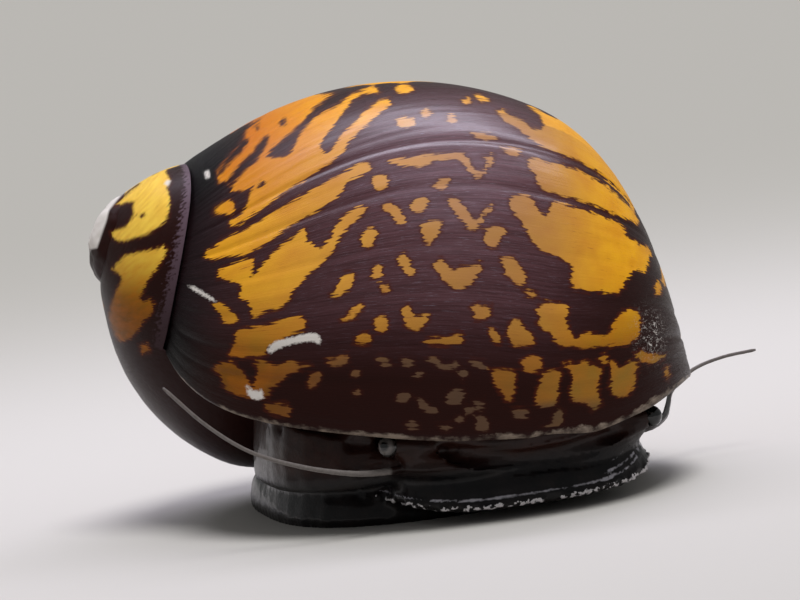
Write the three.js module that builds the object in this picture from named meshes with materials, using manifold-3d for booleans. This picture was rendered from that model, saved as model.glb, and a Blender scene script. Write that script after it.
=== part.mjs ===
// Nerite snail crawling on a flat floor, shell about 25 mm long, +Z up, millimetres.
// The head looks towards -Y and the spire of the shell points to -X.
import * as THREE from 'three';
import { mergeVertices } from 'three/addons/utils/BufferGeometryUtils.js';
import Module from 'manifold-3d';

const wasm = await Module();
wasm.setup();

// General sizes.
const GAP = 0.3;
const DEG = Math.PI / 180;
// The snail is laid out round the middle of its shell; this brings the middle of the whole to the origin.
const LAYOUT_SHIFT = [-0.92, 2.06, 0];

// Shell: a spiral cone that grows round an axis falling from the apex to the base.
const SHELL_APEX = [-12.88, 0.44, 13.1];
const AXIS_DIP = 30.2;
const AXIS_YAW = 1.4;
const GROWTH_PER_TURN = 2.664;
// The growing mouth, measured at the lip: its middle along the axis, its reach to either side, its radius.
const MOUTH_MIDDLE = 19.5;
const MOUTH_TO_SPIRE = 16.24;
const MOUTH_TO_BASE = 10.22;
const MOUTH_RADIUS = 14.88;
// Power of the shoulder's curve in the early whorls and at the lip, where the shoulder falls.
const SHOULDER_EARLY = 1.08;
const SHOULDER_AT_LIP = 1.27;
const SHOULDER_FALL_FROM = -100;
const SHOULDER_FALL_TO = 30;
// The early shoulder is a little fuller beside the seam, in millimetres at the size of the lip.
const SHOULDER_PAD = { height: 0.85, at: 15, spread: 10 };
// The spire is a little fatter than the cone that the last whorl follows.
const SPIRE_SWELL = 0.07;
const SPIRE_SWELL_FROM = -290;
const SPIRE_SWELL_TO = -400;
// Turn of the lip in degrees past the front, as a cubic of the cosine along the mouth.
const LIP_LAG = [0.6, 19.9, -3.9, 27.6];
// The last turn of the cone is the body whorl, and the turn before it shows as the spire.
const LAST_TURN_START = -308;
const SPIRE_TURN_START = -640;
const AXIS_HOLE = 0.0015;
const AXIS_ROD = 0.16;
const LAST_TURN_ROD = [4.4, 24];
const SPIRE_ROD = [0.9, 11];
// The worn tip of the spire is a blunt dome on the axis.
const APEX_DOME = { middle: 2.4, along: 1.6, across: 2.5 };
const SHELL_WALL = 0.075;
// Degrees of turn that clear a millimetre past the lip.
const LIP_GROWTH = 14;
const CAVITY_START = -66;
const CAVITY_END = 42;
const CAVITY_INNER = 0.24;

// The plane of the mouth of the shell: height at one point of it and its slopes along X and Y.
const RIM_POINT = [4.2, -14, 2.6];
const RIM_SLOPE_X = 0.15;
const RIM_SLOPE_Y = 0.04;

// Body: the head looks 12 degrees to the side of -Y.
const HEADING = 12;
const FOOT = { centre: [0.8, -0.35], width: 15.5, length: 18.4, height: 1.5, squareness: 2.9 };
const TAIL_LOBE = { centre: [-0.5, 5.6], width: 8.4, length: 5.0, low: 1.2, height: 0.75, squareness: 2.1 };
const NECK = { centre: [1.0, -4.65], width: 15.2, length: 12.2, height: 4.4, squareness: 3.4 };
const HEAD = { centre: [3.7, -9.3], width: 10.8, length: 6.2, height: 1.6, squareness: 2.7, lift: 0.75 };
const SNOUT = {
  centre: [3.8, -9.0], width: 10.9, length: 7.4, low: 0.3, height: 1.2, squareness: 2.3, lift: 0.75 };
// The sides of the snout and head rise off the floor; the rise fades out at this height.
const LIFT_FADE = 3.4;
const RIM_BUMPS = { count: 34, height: 0.08, level: 0.62, spread: 0.25 };
const MOUTH_SLIT = { width: 0.35, length: 1.7, depth: 0.45, forward: 2.1 };
// The mantle, measured as the cavity is; its drop is in degrees of turn past the lip.
const MANTLE_START = -63;
const MANTLE_INNER = 0.27;
const MANTLE_DROP = 1.6;
const MANTLE_SHRINK = 0.03;
// Clearances round the mantle's lower and inner faces, in degrees and in shares for a millimetre.
const MANTLE_GROWTH = 12;
const MANTLE_INNER_GROWTH = 0.08;
const EYE_DIAMETER = 0.84;
const EYES = {
  right: { side: -5.4, forward: 1.85, height: 3.42 },
  left: { side: 5.4, forward: 1.7, height: 2.98 },
};
const EYE_STALK = { root: 0.55, end: 0.36, reach: 1.25 };
const OPERCULUM = { centre: [-0.5, 5.7], width: 7.4, length: 4.6, low: 2.25, thick: 0.6, squareness: 2.1 };

// Feelers, from root to tip; each is parted into a base, a middle and a tip.
const FEELER_PATHS = {
  right: [
    [-0.4, -11.6, 2.5], [-1.5, -12.35, 2.48], [-2.8, -12.7, 2.62], [-4.7, -12.6, 3.13],
    [-6.6, -12.4, 3.95], [-8.2, -12.4, 5.24], [-9.65, -12.6, 6.92]],
  left: [
    [8.2, -9.7, 2.5], [9.3, -8.7, 2.45], [10, -6.6, 2.5], [10.35, -4.2, 2.65], [10.75, -1.9, 3.0],
    [11.8, -0.4, 3.55], [13.1, 0.1, 3.85], [14.56, 0.2, 3.97]],
};
const FEELER_RADIUS = { root: 0.32, middle: 0.26, tip: 0.13, waist: 0.6 };
const FEELER_PARTS = [['base', 0, 0.36], ['mid', 0.36, 0.7], ['tip', 0.7, 1]];

// Colours.
const COLOURS = {
  shell: 0x3a2418,
  spire: 0xb0731c,
  flesh: 0x17120f,
  mantle: 0x24180f,
  feeler: 0x6d6a66,
  eye: 0x050505,
  operculum: 0x4a3326,
};

// Materials, one for each node.
function material(colour, roughness) {
  return new THREE.MeshStandardMaterial({ color: colour, roughness, metalness: 0 });
}

// A closed geometry as a solid for joining and cutting, turned the right way out.
function solidOf(geometry) {
  const bare = geometry.clone();
  bare.deleteAttribute('normal');
  bare.deleteAttribute('uv');
  const merged = mergeVertices(bare, 1e-5);
  const points = merged.attributes.position.array;
  const corners = Uint32Array.from(merged.index.array);
  let volume = 0;
  const a = new THREE.Vector3();
  const b = new THREE.Vector3();
  const c = new THREE.Vector3();
  for (let i = 0; i < corners.length; i += 3) {
    a.fromArray(points, corners[i] * 3);
    b.fromArray(points, corners[i + 1] * 3);
    c.fromArray(points, corners[i + 2] * 3);
    volume += a.dot(b.cross(c));
  }
  if (volume < 0) {
    for (let i = 0; i < corners.length; i += 3) {
      [corners[i], corners[i + 1]] = [corners[i + 1], corners[i]];
    }
  }
  return new wasm.Manifold(new wasm.Mesh({ numProp: 3, vertProperties: points, triVerts: corners }));
}

// A geometry whose every point is moved by a function of its place.
function bent(geometry, move) {
  const place = geometry.attributes.position;
  const p = new THREE.Vector3();
  for (let i = 0; i < place.count; i += 1) {
    p.fromBufferAttribute(place, i);
    move(p);
    place.setXYZ(i, p.x, p.y, p.z);
  }
  return geometry;
}

// The largest closed surface of a solid, as a named mesh.
function node(name, solid, colour, roughness) {
  const pieces = solid.decompose();
  let best = pieces[0];
  for (const piece of pieces) {
    if (piece.volume() > best.volume()) {
      best = piece;
    }
  }
  const mesh = best.getMesh();
  const geometry = new THREE.BufferGeometry();
  geometry.setAttribute('position', new THREE.BufferAttribute(mesh.vertProperties, 3));
  geometry.setIndex(new THREE.BufferAttribute(mesh.triVerts, 1));
  geometry.computeVertexNormals();
  const result = new THREE.Mesh(geometry, material(colour, roughness));
  result.name = name;
  return result;
}

function smoothStep(value, from, to) {
  return THREE.MathUtils.smoothstep(value, Math.min(from, to), Math.max(from, to));
}

// Directions of the shell: along the axis to the base, towards the front, and up.
const shellAlong = new THREE.Vector3(
  Math.cos(AXIS_DIP * DEG) * Math.cos(AXIS_YAW * DEG),
  Math.cos(AXIS_DIP * DEG) * Math.sin(AXIS_YAW * DEG),
  -Math.sin(AXIS_DIP * DEG),
);
const shellFront = new THREE.Vector3(0, -1, 0).projectOnPlane(shellAlong).normalize();
const shellUp = new THREE.Vector3().crossVectors(shellFront, shellAlong);
const shellApex = new THREE.Vector3(...SHELL_APEX);
const growthRate = Math.log(GROWTH_PER_TURN) / (2 * Math.PI);

// The turn of the lip, in radians, at a place along the mouth from 0 at the spire to pi at the base.
function lipTurn(along) {
  const c = Math.cos(along);
  return (LIP_LAG[0] + LIP_LAG[1] * c + LIP_LAG[2] * c * c + LIP_LAG[3] * c * c * c) * DEG;
}

// A point of the shell: place along the mouth, share of the radius, turn, and a shrink of the mouth.
function shellPoint(along, share, turn, shrink, grow) {
  const reach = along < Math.PI / 2 ? MOUTH_TO_SPIRE : MOUTH_TO_BASE;
  const degrees = turn / DEG;
  const fall = THREE.MathUtils.clamp(
    (degrees - SHOULDER_FALL_FROM) / (SHOULDER_FALL_TO - SHOULDER_FALL_FROM), 0, 1);
  const power = along < Math.PI / 2 ? SHOULDER_EARLY + (SHOULDER_AT_LIP - SHOULDER_EARLY) * fall : 1;
  const swell = 1 + SPIRE_SWELL * (1 - smoothStep(degrees, SPIRE_SWELL_TO, SPIRE_SWELL_FROM));
  const size = Math.exp(growthRate * turn);
  const pad = SHOULDER_PAD.height * (1 - fall)
    * Math.exp(-(((along / DEG - SHOULDER_PAD.at) / SHOULDER_PAD.spread) ** 2));
  const full = MOUTH_RADIUS * swell * Math.pow(Math.max(Math.sin(along), 0), power) + pad;
  const axial = (MOUTH_MIDDLE - shrink * reach * Math.cos(along)) * size - grow * Math.cos(along);
  const radial = share(full * shrink * size + grow * Math.sin(along), size);
  return shellApex.clone()
    .addScaledVector(shellAlong, axial)
    .addScaledVector(shellFront, radial * Math.cos(turn))
    .addScaledVector(shellUp, -radial * Math.sin(turn));
}

// A wedge of the spiral cone between two turns; the end may be the lip's own line plus a lag.
function shellWedge({ from, to, lip = null, shrink = 1, grow = 0, inner = -0.05, steps, points }) {
  const box = new THREE.BoxGeometry(1, 1, 1, points, 1, steps);
  return solidOf(bent(box, (p) => {
    const along = Math.PI * (p.x + 0.5);
    const outwards = p.y + 0.5;
    const end = lip === null ? to * DEG : lipTurn(along) + lip * DEG;
    const turn = from * DEG + (end - from * DEG) * (p.z + 0.5);
    const share = (full, size) => {
      const least = inner * MOUTH_RADIUS * size;
      return least + (Math.max(full, least + 0.01) - least) * outwards;
    };
    p.copy(shellPoint(along, share, turn, shrink, grow));
  }));
}

// Brings a geometry that stands on the origin along +Y onto the axis of the shell.
function ontoAxis(geometry, distance) {
  geometry.translate(0, distance, 0);
  geometry.applyQuaternion(new THREE.Quaternion().setFromUnitVectors(new THREE.Vector3(0, 1, 0), shellAlong));
  return geometry.translate(shellApex.x, shellApex.y, shellApex.z);
}

// A thin rod along the axis of the shell, which closes the fine hole that a turn leaves.
function axisRod([from, to], grow) {
  const rod = new THREE.CylinderGeometry(AXIS_ROD + grow, AXIS_ROD / 3 + grow, to - from + 2 * grow, 8);
  return solidOf(ontoAxis(rod, (from + to) / 2));
}

function apexDome() {
  const { middle, along, across } = APEX_DOME;
  const dome = new THREE.SphereGeometry(1, 28, 16).scale(across, along, across);
  return solidOf(ontoAxis(dome, middle));
}

// The last turn, from under the lip once round to the lip.
function lastTurn(grow) {
  return shellWedge({
    from: LAST_TURN_START - grow * LIP_GROWTH,
    lip: grow * LIP_GROWTH,
    inner: AXIS_HOLE,
    grow,
    steps: 34,
    points: 26,
  }).add(axisRod(LAST_TURN_ROD, grow));
}

// The turn before the last one.
function spireTurn(grow) {
  return shellWedge({
    from: SPIRE_TURN_START, to: LAST_TURN_START, inner: AXIS_HOLE, grow, steps: 26, points: 22 })
    .add(axisRod(SPIRE_ROD, grow));
}

// A large block below the plane of the shell's mouth, lowered by a drop.
function belowRim(drop) {
  const block = new THREE.BoxGeometry(60, 60, 20);
  return solidOf(bent(block, (p) => {
    const height = RIM_POINT[2] + RIM_SLOPE_X * (p.x - RIM_POINT[0]) + RIM_SLOPE_Y * (p.y - RIM_POINT[1]);
    p.z = p.z > 0 ? height - drop : -40;
  }));
}

// The room inside the last whorl, open at the mouth.
const cavity = shellWedge({
  from: CAVITY_START, to: CAVITY_END, shrink: 1 - SHELL_WALL, inner: CAVITY_INNER, steps: 10, points: 20 });

const bodyWhorl = lastTurn(0).subtract(belowRim(0)).subtract(cavity);
const spire = spireTurn(0).add(apexDome()).subtract(lastTurn(GAP)).subtract(belowRim(0));

// Rounded flat pieces of the body, looking along the heading.
const ahead = new THREE.Vector3(Math.sin(HEADING * DEG), -Math.cos(HEADING * DEG), 0);
const aside = new THREE.Vector3(Math.cos(HEADING * DEG), Math.sin(HEADING * DEG), 0);

// A rounded slab: profile points are share of the half width and height above the floor.
function slab(size, profile, segments, waves = null) {
  const lathe = new THREE.LatheGeometry(profile.map(([r, z]) => new THREE.Vector2(r, z)), segments);
  return solidOf(bent(lathe, (p) => {
    const radius = Math.hypot(p.x, p.z);
    const angle = Math.atan2(p.z, p.x);
    const n = size.squareness;
    const round = Math.pow(Math.abs(Math.cos(angle)) ** n + Math.abs(Math.sin(angle)) ** n, -1 / n);
    const wave = waves ? waves(angle, p.y, radius) : 0;
    const side = radius * round * Math.cos(angle) * (size.width / 2 + wave);
    const front = radius * round * Math.sin(angle) * (size.length / 2 + wave);
    const rise = (size.lift ?? 0) * (side / (size.width / 2)) ** 2 * Math.max(0, 1 - p.y / LIFT_FADE);
    p.set(size.centre[0], size.centre[1], p.y + rise);
    p.addScaledVector(aside, side);
    p.addScaledVector(ahead, front);
  }));
}

function footSolid(grow) {
  const s = 1 + grow / (FOOT.width / 2);
  const top = FOOT.height + grow;
  return slab(FOOT, [
    [0, -grow], [0.98 * s, -grow], [s, 0.16], [0.992 * s, 0.5], [0.975 * s, 1.0],
    [0.955 * s, top - 0.15], [0.92 * s, top], [0, top]], 44);
}

// The raised back of the foot, which carries the operculum.
function tailLobe() {
  const { low, height } = TAIL_LOBE;
  return slab(TAIL_LOBE, [[0, low], [1, low], [0.98, low + 0.5], [0.9, low + height], [0, low + height]], 30);
}

function operculumSolid() {
  const { low, thick } = OPERCULUM;
  return slab(OPERCULUM, [
    [0, low], [0.95, low], [1, low + 0.15], [0.97, low + 0.35], [0.8, low + 0.5],
    [0.3, low + thick], [0, low + thick]], 32);
}

function headSolid(grow) {
  const s = 1 + grow / (HEAD.width / 2);
  const low = FOOT.height + GAP - grow;
  const top = FOOT.height + GAP + HEAD.height + grow;
  return slab(HEAD, [
    [0, low], [0.9 * s, low], [s, low + 0.35 + grow], [0.98 * s, low + 0.8 + grow],
    [0.88 * s, top - 0.3], [0.7 * s, top - 0.06], [0.4 * s, top], [0, top]], 40);
}

// The snout's broad disc with two rims, the lower one set with small bumps.
function snoutSolid(grow) {
  const s = 1 + grow / (SNOUT.width / 2);
  const low = SNOUT.low - grow;
  const top = SNOUT.low + SNOUT.height + grow;
  const { count, height, level, spread } = RIM_BUMPS;
  const bumps = (angle, z, radius) => {
    const rim = radius > 0.9 ? Math.max(0, 1 - Math.abs(z - level) / spread) : 0;
    return rim * height * Math.cos(angle * count);
  };
  return slab(SNOUT, [
    [0, low + 0.12], [0.72 * s, low + 0.1], [0.9 * s, low], [0.985 * s, low + 0.14], [s, level],
    [0.965 * s, 0.86], [0.93 * s, 0.98], [0.955 * s, 1.12], [0.93 * s, top - 0.12],
    [0.86 * s, top], [0, top]], 2 * count, bumps);
}

// The slit of the mouth, on the underside of the snout behind its rim.
function mouthSlit() {
  const { width, length, depth, forward } = MOUTH_SLIT;
  const block = new THREE.BoxGeometry(width, length, 2 * depth);
  block.rotateZ(HEADING * DEG);
  const place = new THREE.Vector3(...SNOUT.centre, SNOUT.low + 0.1).addScaledVector(ahead, forward);
  return solidOf(block.translate(place.x, place.y, place.z));
}

function neckSolid(grow) {
  const s = 1 + grow / (NECK.width / 2);
  const low = FOOT.height + GAP;
  return slab(NECK, [
    [0, low - grow], [0.98 * s, low - grow], [s, low + 0.2], [0.99 * s, low + 0.9],
    [0.94 * s, low + NECK.height], [0, low + NECK.height]], 36);
}

// The mantle: it fills the mouth of the shell and hangs a little below the lip.
function mantleSolid(grow) {
  return shellWedge({
    from: MANTLE_START,
    lip: MANTLE_DROP + grow * MANTLE_GROWTH,
    shrink: 1 - SHELL_WALL - MANTLE_SHRINK,
    inner: MANTLE_INNER - grow * MANTLE_INNER_GROWTH,
    grow,
    steps: 8,
    points: 20,
  });
}

// A tapered round bar along a smooth curve through some points, between two shares of its length.
function bar(points, radiusAt, from, to, steps, sides = 8) {
  const curve = new THREE.CatmullRomCurve3(points.map((p) => new THREE.Vector3(...p)));
  const cylinder = new THREE.CylinderGeometry(1, 1, 1, sides, steps);
  const upright = new THREE.Vector3(0, 0, 1);
  return solidOf(bent(cylinder, (p) => {
    const share = from + (to - from) * (p.y + 0.5);
    const centre = curve.getPointAt(share);
    const along = curve.getTangentAt(share);
    const right = new THREE.Vector3().crossVectors(along, upright).normalize();
    const over = new THREE.Vector3().crossVectors(right, along);
    const radius = radiusAt(share);
    const x = p.x * radius;
    const z = p.z * radius;
    p.copy(centre).addScaledVector(right, x).addScaledVector(over, z);
  }));
}

// A place in the head's own directions: to the side, forward and up.
function headPlace({ side, forward, height }) {
  const p = new THREE.Vector3(HEAD.centre[0], HEAD.centre[1], height);
  return p.addScaledVector(aside, side).addScaledVector(ahead, forward);
}

function feelerRadius(share) {
  const { root, middle, tip, waist } = FEELER_RADIUS;
  if (share < waist) {
    return root + (middle - root) * (share / waist);
  }
  return middle + (tip - middle) * ((share - waist) / (1 - waist));
}

const group = new THREE.Group();

// Shell.
group.add(node('shell_body_whorl', bodyWhorl, COLOURS.shell, 0.25));
group.add(node('shell_spire', spire, COLOURS.spire, 0.3));

// What the soft body keeps clear of.
const spireClear = spireTurn(GAP);
const shellClear = lastTurn(GAP).add(spireClear).subtract(belowRim(GAP)).subtract(mantleSolid(0));

// Soft body, from the top down.
const mantle = mantleSolid(0).subtract(spireClear);
group.add(node('mantle', mantle, COLOURS.mantle, 0.4));

const mantleClear = mantleSolid(GAP);
const headClear = headSolid(GAP);
const neck = neckSolid(0).subtract(shellClear).subtract(mantleClear)
  .subtract(headClear.add(snoutSolid(GAP)));
group.add(node('neck', neck, COLOURS.flesh, 0.35));

const foot = footSolid(0).add(tailLobe()).subtract(shellClear).subtract(mantleClear);
group.add(node('foot', foot, COLOURS.flesh, 0.35));

const operculum = operculumSolid().subtract(shellClear);
group.add(node('operculum', operculum, COLOURS.operculum, 0.4));

const head = headSolid(0).subtract(shellClear).subtract(mantleClear);
group.add(node('head', head, COLOURS.flesh, 0.35));

const snout = snoutSolid(0).subtract(footSolid(GAP)).subtract(mouthSlit());
group.add(node('snout', snout, COLOURS.flesh, 0.3));

// Eyes on short stalks, and feelers, one pair on each side.
for (const side of ['right', 'left']) {
  const eyePlace = headPlace(EYES[side]);
  const inwards = aside.clone().multiplyScalar(-Math.sign(EYES[side].side));
  const stalkRoot = eyePlace.clone().addScaledVector(inwards, EYE_STALK.reach);
  const stalkRadius = (share) => EYE_STALK.root + (EYE_STALK.end - EYE_STALK.root) * share;
  const eyeBall = (grow) => solidOf(
    new THREE.SphereGeometry(EYE_DIAMETER / 2 + grow, 16, 10).translate(...eyePlace.toArray()));
  const stalk = bar([stalkRoot.toArray(), eyePlace.toArray()], stalkRadius, 0, 1, 2, 12)
    .subtract(headClear).subtract(eyeBall(GAP * 0.5)).subtract(mantleClear);
  group.add(node(`eye_stalk_${side}`, stalk, COLOURS.flesh, 0.35));
  group.add(node(`eye_${side}`, eyeBall(0), COLOURS.eye, 0.08));

  const path = FEELER_PATHS[side];
  const length = new THREE.CatmullRomCurve3(path.map((p) => new THREE.Vector3(...p))).getLength();
  const halfGap = GAP / 2 / length;
  for (const [part, from, to] of FEELER_PARTS) {
    const start = from > 0 ? from + halfGap : 0;
    const end = to < 1 ? to - halfGap : 1;
    const piece = bar(path, feelerRadius, start, end, 8).subtract(headClear);
    group.add(node(`tentacle_${side}_${part}`, piece, COLOURS.feeler, 0.4));
  }
}

group.position.set(...LAYOUT_SHIFT);

export default group;
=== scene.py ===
"""Nerite snail, a life-size museum model: the finished shell, skin, eyes and operculum over its solids."""

import math
from functools import partial

import bmesh
import bpy
import numpy as np
from bpy.props import FloatProperty, FloatVectorProperty, IntProperty, PointerProperty
from mathutils import Matrix, Vector, noise


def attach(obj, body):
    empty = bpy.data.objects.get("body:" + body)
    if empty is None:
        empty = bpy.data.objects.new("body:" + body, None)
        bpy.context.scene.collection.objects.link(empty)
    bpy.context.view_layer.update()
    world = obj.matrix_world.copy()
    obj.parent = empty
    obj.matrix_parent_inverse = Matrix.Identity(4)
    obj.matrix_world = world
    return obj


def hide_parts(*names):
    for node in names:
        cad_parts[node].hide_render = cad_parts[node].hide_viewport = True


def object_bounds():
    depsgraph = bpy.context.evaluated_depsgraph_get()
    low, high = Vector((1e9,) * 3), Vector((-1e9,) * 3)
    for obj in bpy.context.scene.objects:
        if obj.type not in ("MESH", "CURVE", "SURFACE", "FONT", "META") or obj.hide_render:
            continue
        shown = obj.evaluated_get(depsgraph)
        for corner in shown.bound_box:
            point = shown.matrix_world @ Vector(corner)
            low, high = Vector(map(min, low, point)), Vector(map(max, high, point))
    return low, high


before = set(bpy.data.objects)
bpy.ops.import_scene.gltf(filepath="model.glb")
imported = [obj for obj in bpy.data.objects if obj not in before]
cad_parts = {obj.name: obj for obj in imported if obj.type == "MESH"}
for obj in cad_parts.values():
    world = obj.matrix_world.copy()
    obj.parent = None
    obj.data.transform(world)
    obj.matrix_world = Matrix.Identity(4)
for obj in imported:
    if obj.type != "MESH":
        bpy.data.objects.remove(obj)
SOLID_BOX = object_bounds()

bl_info = {
    "name": "Nerite snail",
    "version": (1, 0, 0),
    "blender": (4, 5, 0),
    "location": "View3D > Sidebar > Nerite snail",
    "description": "Builds the finished surfaces of a crawling nerite snail",
    "category": "Add Mesh",
}

# Lengths below are millimetres in the snail's layout, which stands round the middle of its shell.
MM = 0.001
LAYOUT_SHIFT = np.array([-0.92, 2.06, 0.0])

# The camera: the photograph's view, with its focal length in pixels of an 800 by 600 picture.
PICTURE_MIDDLE = np.array([400.0, 300.0])
FOCAL_PIXELS = 4443.0
CAMERA_TARGET = np.array([0.0, 0.0, 8.03])
CAMERA_ELEVATION = 5.0
CAMERA_ROLL = 7.5
CAMERA_DISTANCE = 186.37
PIXELS_PER_MM = FOCAL_PIXELS / CAMERA_DISTANCE

# Stand-ins for a distance with nothing near, and for a field or radius where there is none.
FAR = 1e9
NOWHERE = -1e3
# Vertices of a mesh nearer than this, in metres, are one.
MERGED = 1e-7

# Shell: a spiral cone that grows round an axis falling from the apex to the base.
SHELL_APEX = np.array([-12.88, 0.44, 13.1])
AXIS_DIP = 30.2
AXIS_YAW = 1.4
GROWTH_RATE = math.log(2.664) / (2 * math.pi)
MOUTH_MIDDLE = 19.5
MOUTH_TO_SPIRE = 16.24
MOUTH_TO_BASE = 10.22
MOUTH_RADIUS = 14.88
# How square the spireward side of the mouth is, early on and at the lip, and a pad on early turns.
SHOULDER_EARLY = 1.08
SHOULDER_AT_LIP = 1.27
SHOULDER_FALL = (-100.0, 30.0)
SHOULDER_PAD = 0.85
SHOULDER_PAD_AT = 15.0
SHOULDER_PAD_SPREAD = 10.0
SPIRE_SWELL = 0.07
SPIRE_SWELL_TURNS = (-400.0, -290.0)
# How far the lip runs ahead along the mouth, in degrees, its rise over the head, and its rounding.
LIP_LAG = (0.6, 19.9, -3.9, 27.6)
LIP_RISE = 1.9
LIP_RISE_AT = 93.0
LIP_RISE_SPREAD = 11.0
LIP_RISE_FROM = -12.0
LIP_END = 0.75
# The worn apex: a dome on the axis, with its half lengths.
APEX_DOME_AT = 2.5
APEX_DOME_ALONG = 1.85
APEX_DOME_ACROSS = 2.25
# The dome's roughness, and the place on the sheet whose finish it shares.
DOME_ROUGHNESS = 0.07
DOME_ALONG_MOUTH = 0.3
DOME_GROWTH = -620.0
# The plane that cuts the mouth, the flange inside it and a point in the middle of the mouth.
RIM_POINT = np.array([4.2, -14.0, 2.6])
RIM_SLOPE = (0.15, 0.04)
RIM_FLANGE = 0.8
MOUTH_INSIDE = np.array([0.5, -2.0, 3.0])

# The sheet of the shell: rows from the apex to the lip, round the lip and back into the mouth.
# Each stage has its share of the rows, its growth before the lip in degrees and its wall as a share.
SHEET_COLUMNS = 250
SHEET_ROWS = 384
SHEET_STAGES = (
    (0.0, -700.0, 0.0),
    (0.4, -135.0, 0.0),
    (0.955, 0.0, 0.0),
    (0.962, LIP_END, 0.004),
    (0.969, 0.8, 0.016),
    (0.976, 0.1, 0.024),
    (1.0, -20.0, 0.07),
)
# What lies deeper than this inside a neighbouring turn or the dome is left out.
HIDDEN_DEPTH = 0.8
DOME_MARGIN = 0.97
# The first tip of the sheet, under the dome, is cut away, and so are faces drawn out this far.
TIP_CUT = 0.7
TIP_CORE = 0.75
TIP_LEFT_OF = -11.0
STRETCHED = 0.15
# The crown stays this much under the solids' height, eased in over this much of it.
CROWN_CLEARANCE = 0.005
CROWN_EASE = 4.0
# Growth before which the sheet is the older turn, and the stretch of the mouth its seam takes.
CAP_BEFORE = -300.0
SEAM_BEFORE = -290.0
SEAM_ALONG = (0.2, 1.2)
# How proud the older turn stands at its seam as it grows, how deep its edge is, and how far the start
# of the sheet sinks under the worn apex.
SEAM_STEPS = ((-640.0, 0.15), (-540.0, 0.3), (-440.0, 1.1), (-390.0, 1.0), (-350.0, 0.6))
SEAM_WALL = 0.55
START_SINK = 0.16
START_TURNS = (-700.0, -590.0)

# Growth rests: growth before the lip in degrees, half width and depth of the groove.
GROWTH_RESTS = (
    (-58.0, 0.9, 0.07),
    (-45.5, 0.9, 0.06),
    (-33.0, 0.7, 0.02),
    (-23.5, 1.3, 0.05),
    (-14.3, 0.9, 0.06),
    (-8.0, 0.6, 0.02),
)
REST_MIDDLE = 62.0
REST_SPREAD = 60.0
REST_BEND = 0.22
GROWTH_RIPPLE = 0.022
# Where along the mouth, in degrees, the crown's scratches and painted sheen are strongest.
SHEEN_AT = 76
MM_PER_DEGREE = MOUTH_RADIUS * math.pi / 180

# Body: the head looks 12 degrees to the side of -Y.
HEADING = math.radians(12)
AHEAD = np.array([math.sin(HEADING), -math.cos(HEADING), 0.0])
ASIDE = np.array([math.cos(HEADING), math.sin(HEADING), 0.0])
HEAD_CENTRE = np.array([3.7, -9.3, 0.0])
# The snout: a rounded slab whose sides are lifted low down. Its rim of painted glints and its ridge of
# painted shine each have a height in the middle and climb to its left.
SNOUT_CENTRE = np.array([3.8, -9.0, 0.0])
SNOUT_HALF = (5.45, 3.7)
SNOUT_SQUARE = 2.3
SNOUT_LIFT = 0.75
LIFT_FADE = 3.4
LIFT_POWER = 4
RIM_GLINT = (0.58, 0.55)
RIDGE_GLINT = (0.9, 0.72)
SNOUT_PROFILE = (
    (0.0, 0.36), (0.55, 0.36), (0.84, 0.34), (0.93, 0.31), (0.975, 0.38), (0.995, 0.52), (0.995, 0.7),
    (0.98, 0.82), (0.962, 0.9), (0.96, 1.0), (0.973, 1.1), (0.974, 1.2), (0.955, 1.3),
    (0.935, 1.36), (0.936, 1.46), (0.92, 1.56), (0.87, 1.66), (0.6, 1.8), (0.0, 1.87),
)
MANTLE_CUT = 10.2
# Folds over the snout: height and depth. Then the height of its shining ridges, of the wrinkles
# all over and of the swellings of the foot's sides.
HEAD_FOLDS = ((1.72, 0.05), (2.1, 0.06), (2.5, 0.05), (2.9, 0.04))
RIDGE_HEIGHT = 0.035
WRINKLE_HEIGHT = 0.015
FLANK_HEIGHT = 0.008
# The joined skin is drawn in this much again, and is flat on the floor below this height.
SKIN_DRAWN_IN = 0.1
SOLE_FLAT = 0.08
# The brow, a slab over the snout that fills the space under the mantle.
BROW_CENTRE = np.array([3.8, -9.15, 0.0])
BROW_HALF = (5.05, 3.15)
BROW_SQUARE = 2.4
BROW_LIFT = 0.5
BROW_PROFILE = (
    (0.0, 1.1), (0.8, 1.15), (0.95, 1.3), (1.0, 1.65), (0.99, 2.1), (0.95, 2.6), (0.86, 3.1), (0.7, 3.5),
    (0.4, 3.8), (0.0, 3.9),
)
EYE_RADIUS = 0.42
# Each eye's place from the middle of the head: sideways, forwards and its height.
EYES = {
    "right": (-5.4, 1.85, 3.42),
    "left": (5.4, 1.7, 2.98),
}
# How near its lens the grey ring of painted highlight lies on each eye: close to the lens on the right, and
# pushed round to the back on the left, since the left eye shows only its dark side.
EYE_HIGHLIGHT_RING = {"right": 1.0, "left": 0.2}
# Where the right eye looks, sideways, forwards and upwards; the left one mirrors it.
EYE_GAZE = (0.75, 0.9, 0.25)
# The groove round its lens: depth, and the cosine of its angle from the gaze with its half width.
LENS_GROOVE = 0.05
LENS_EDGE = (0.72, 0.07)
# How far each stalk reaches inwards and down from its eye, and its radius at both ends.
STALK_REACH = 1.85
STALK_DROP = 0.25
STALK_RADII = (0.62, 0.5)
# Where the neck closes up to the right eye stalk.
NECK_FOLD = ((-3.7, -10.2, 3.78), (-2.6, -10.35, 3.62), (-1.6, -10.6, 3.5))
NECK_FOLD_RADIUS = 0.5
OPERCULUM_CENTRE = np.array([-0.5, 5.7, 0.0])
OPERCULUM_HALF = (3.7, 2.3)
OPERCULUM_SQUARE = 2.1
OPERCULUM_PROFILE = (
    (0.0, 2.27), (0.9, 2.26), (0.97, 2.3), (1.0, 2.4), (0.985, 2.52), (0.93, 2.62), (0.8, 2.7),
    (0.4, 2.8), (0.0, 2.83),
)
# Above this height the plate has spiral lines, with their depth, centre and pitch.
OPERCULUM_TOP = 2.55
LINE_DEPTH = 0.03
SWIRL_ASIDE = 0.35
SWIRL_PITCH = 5.5

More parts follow.
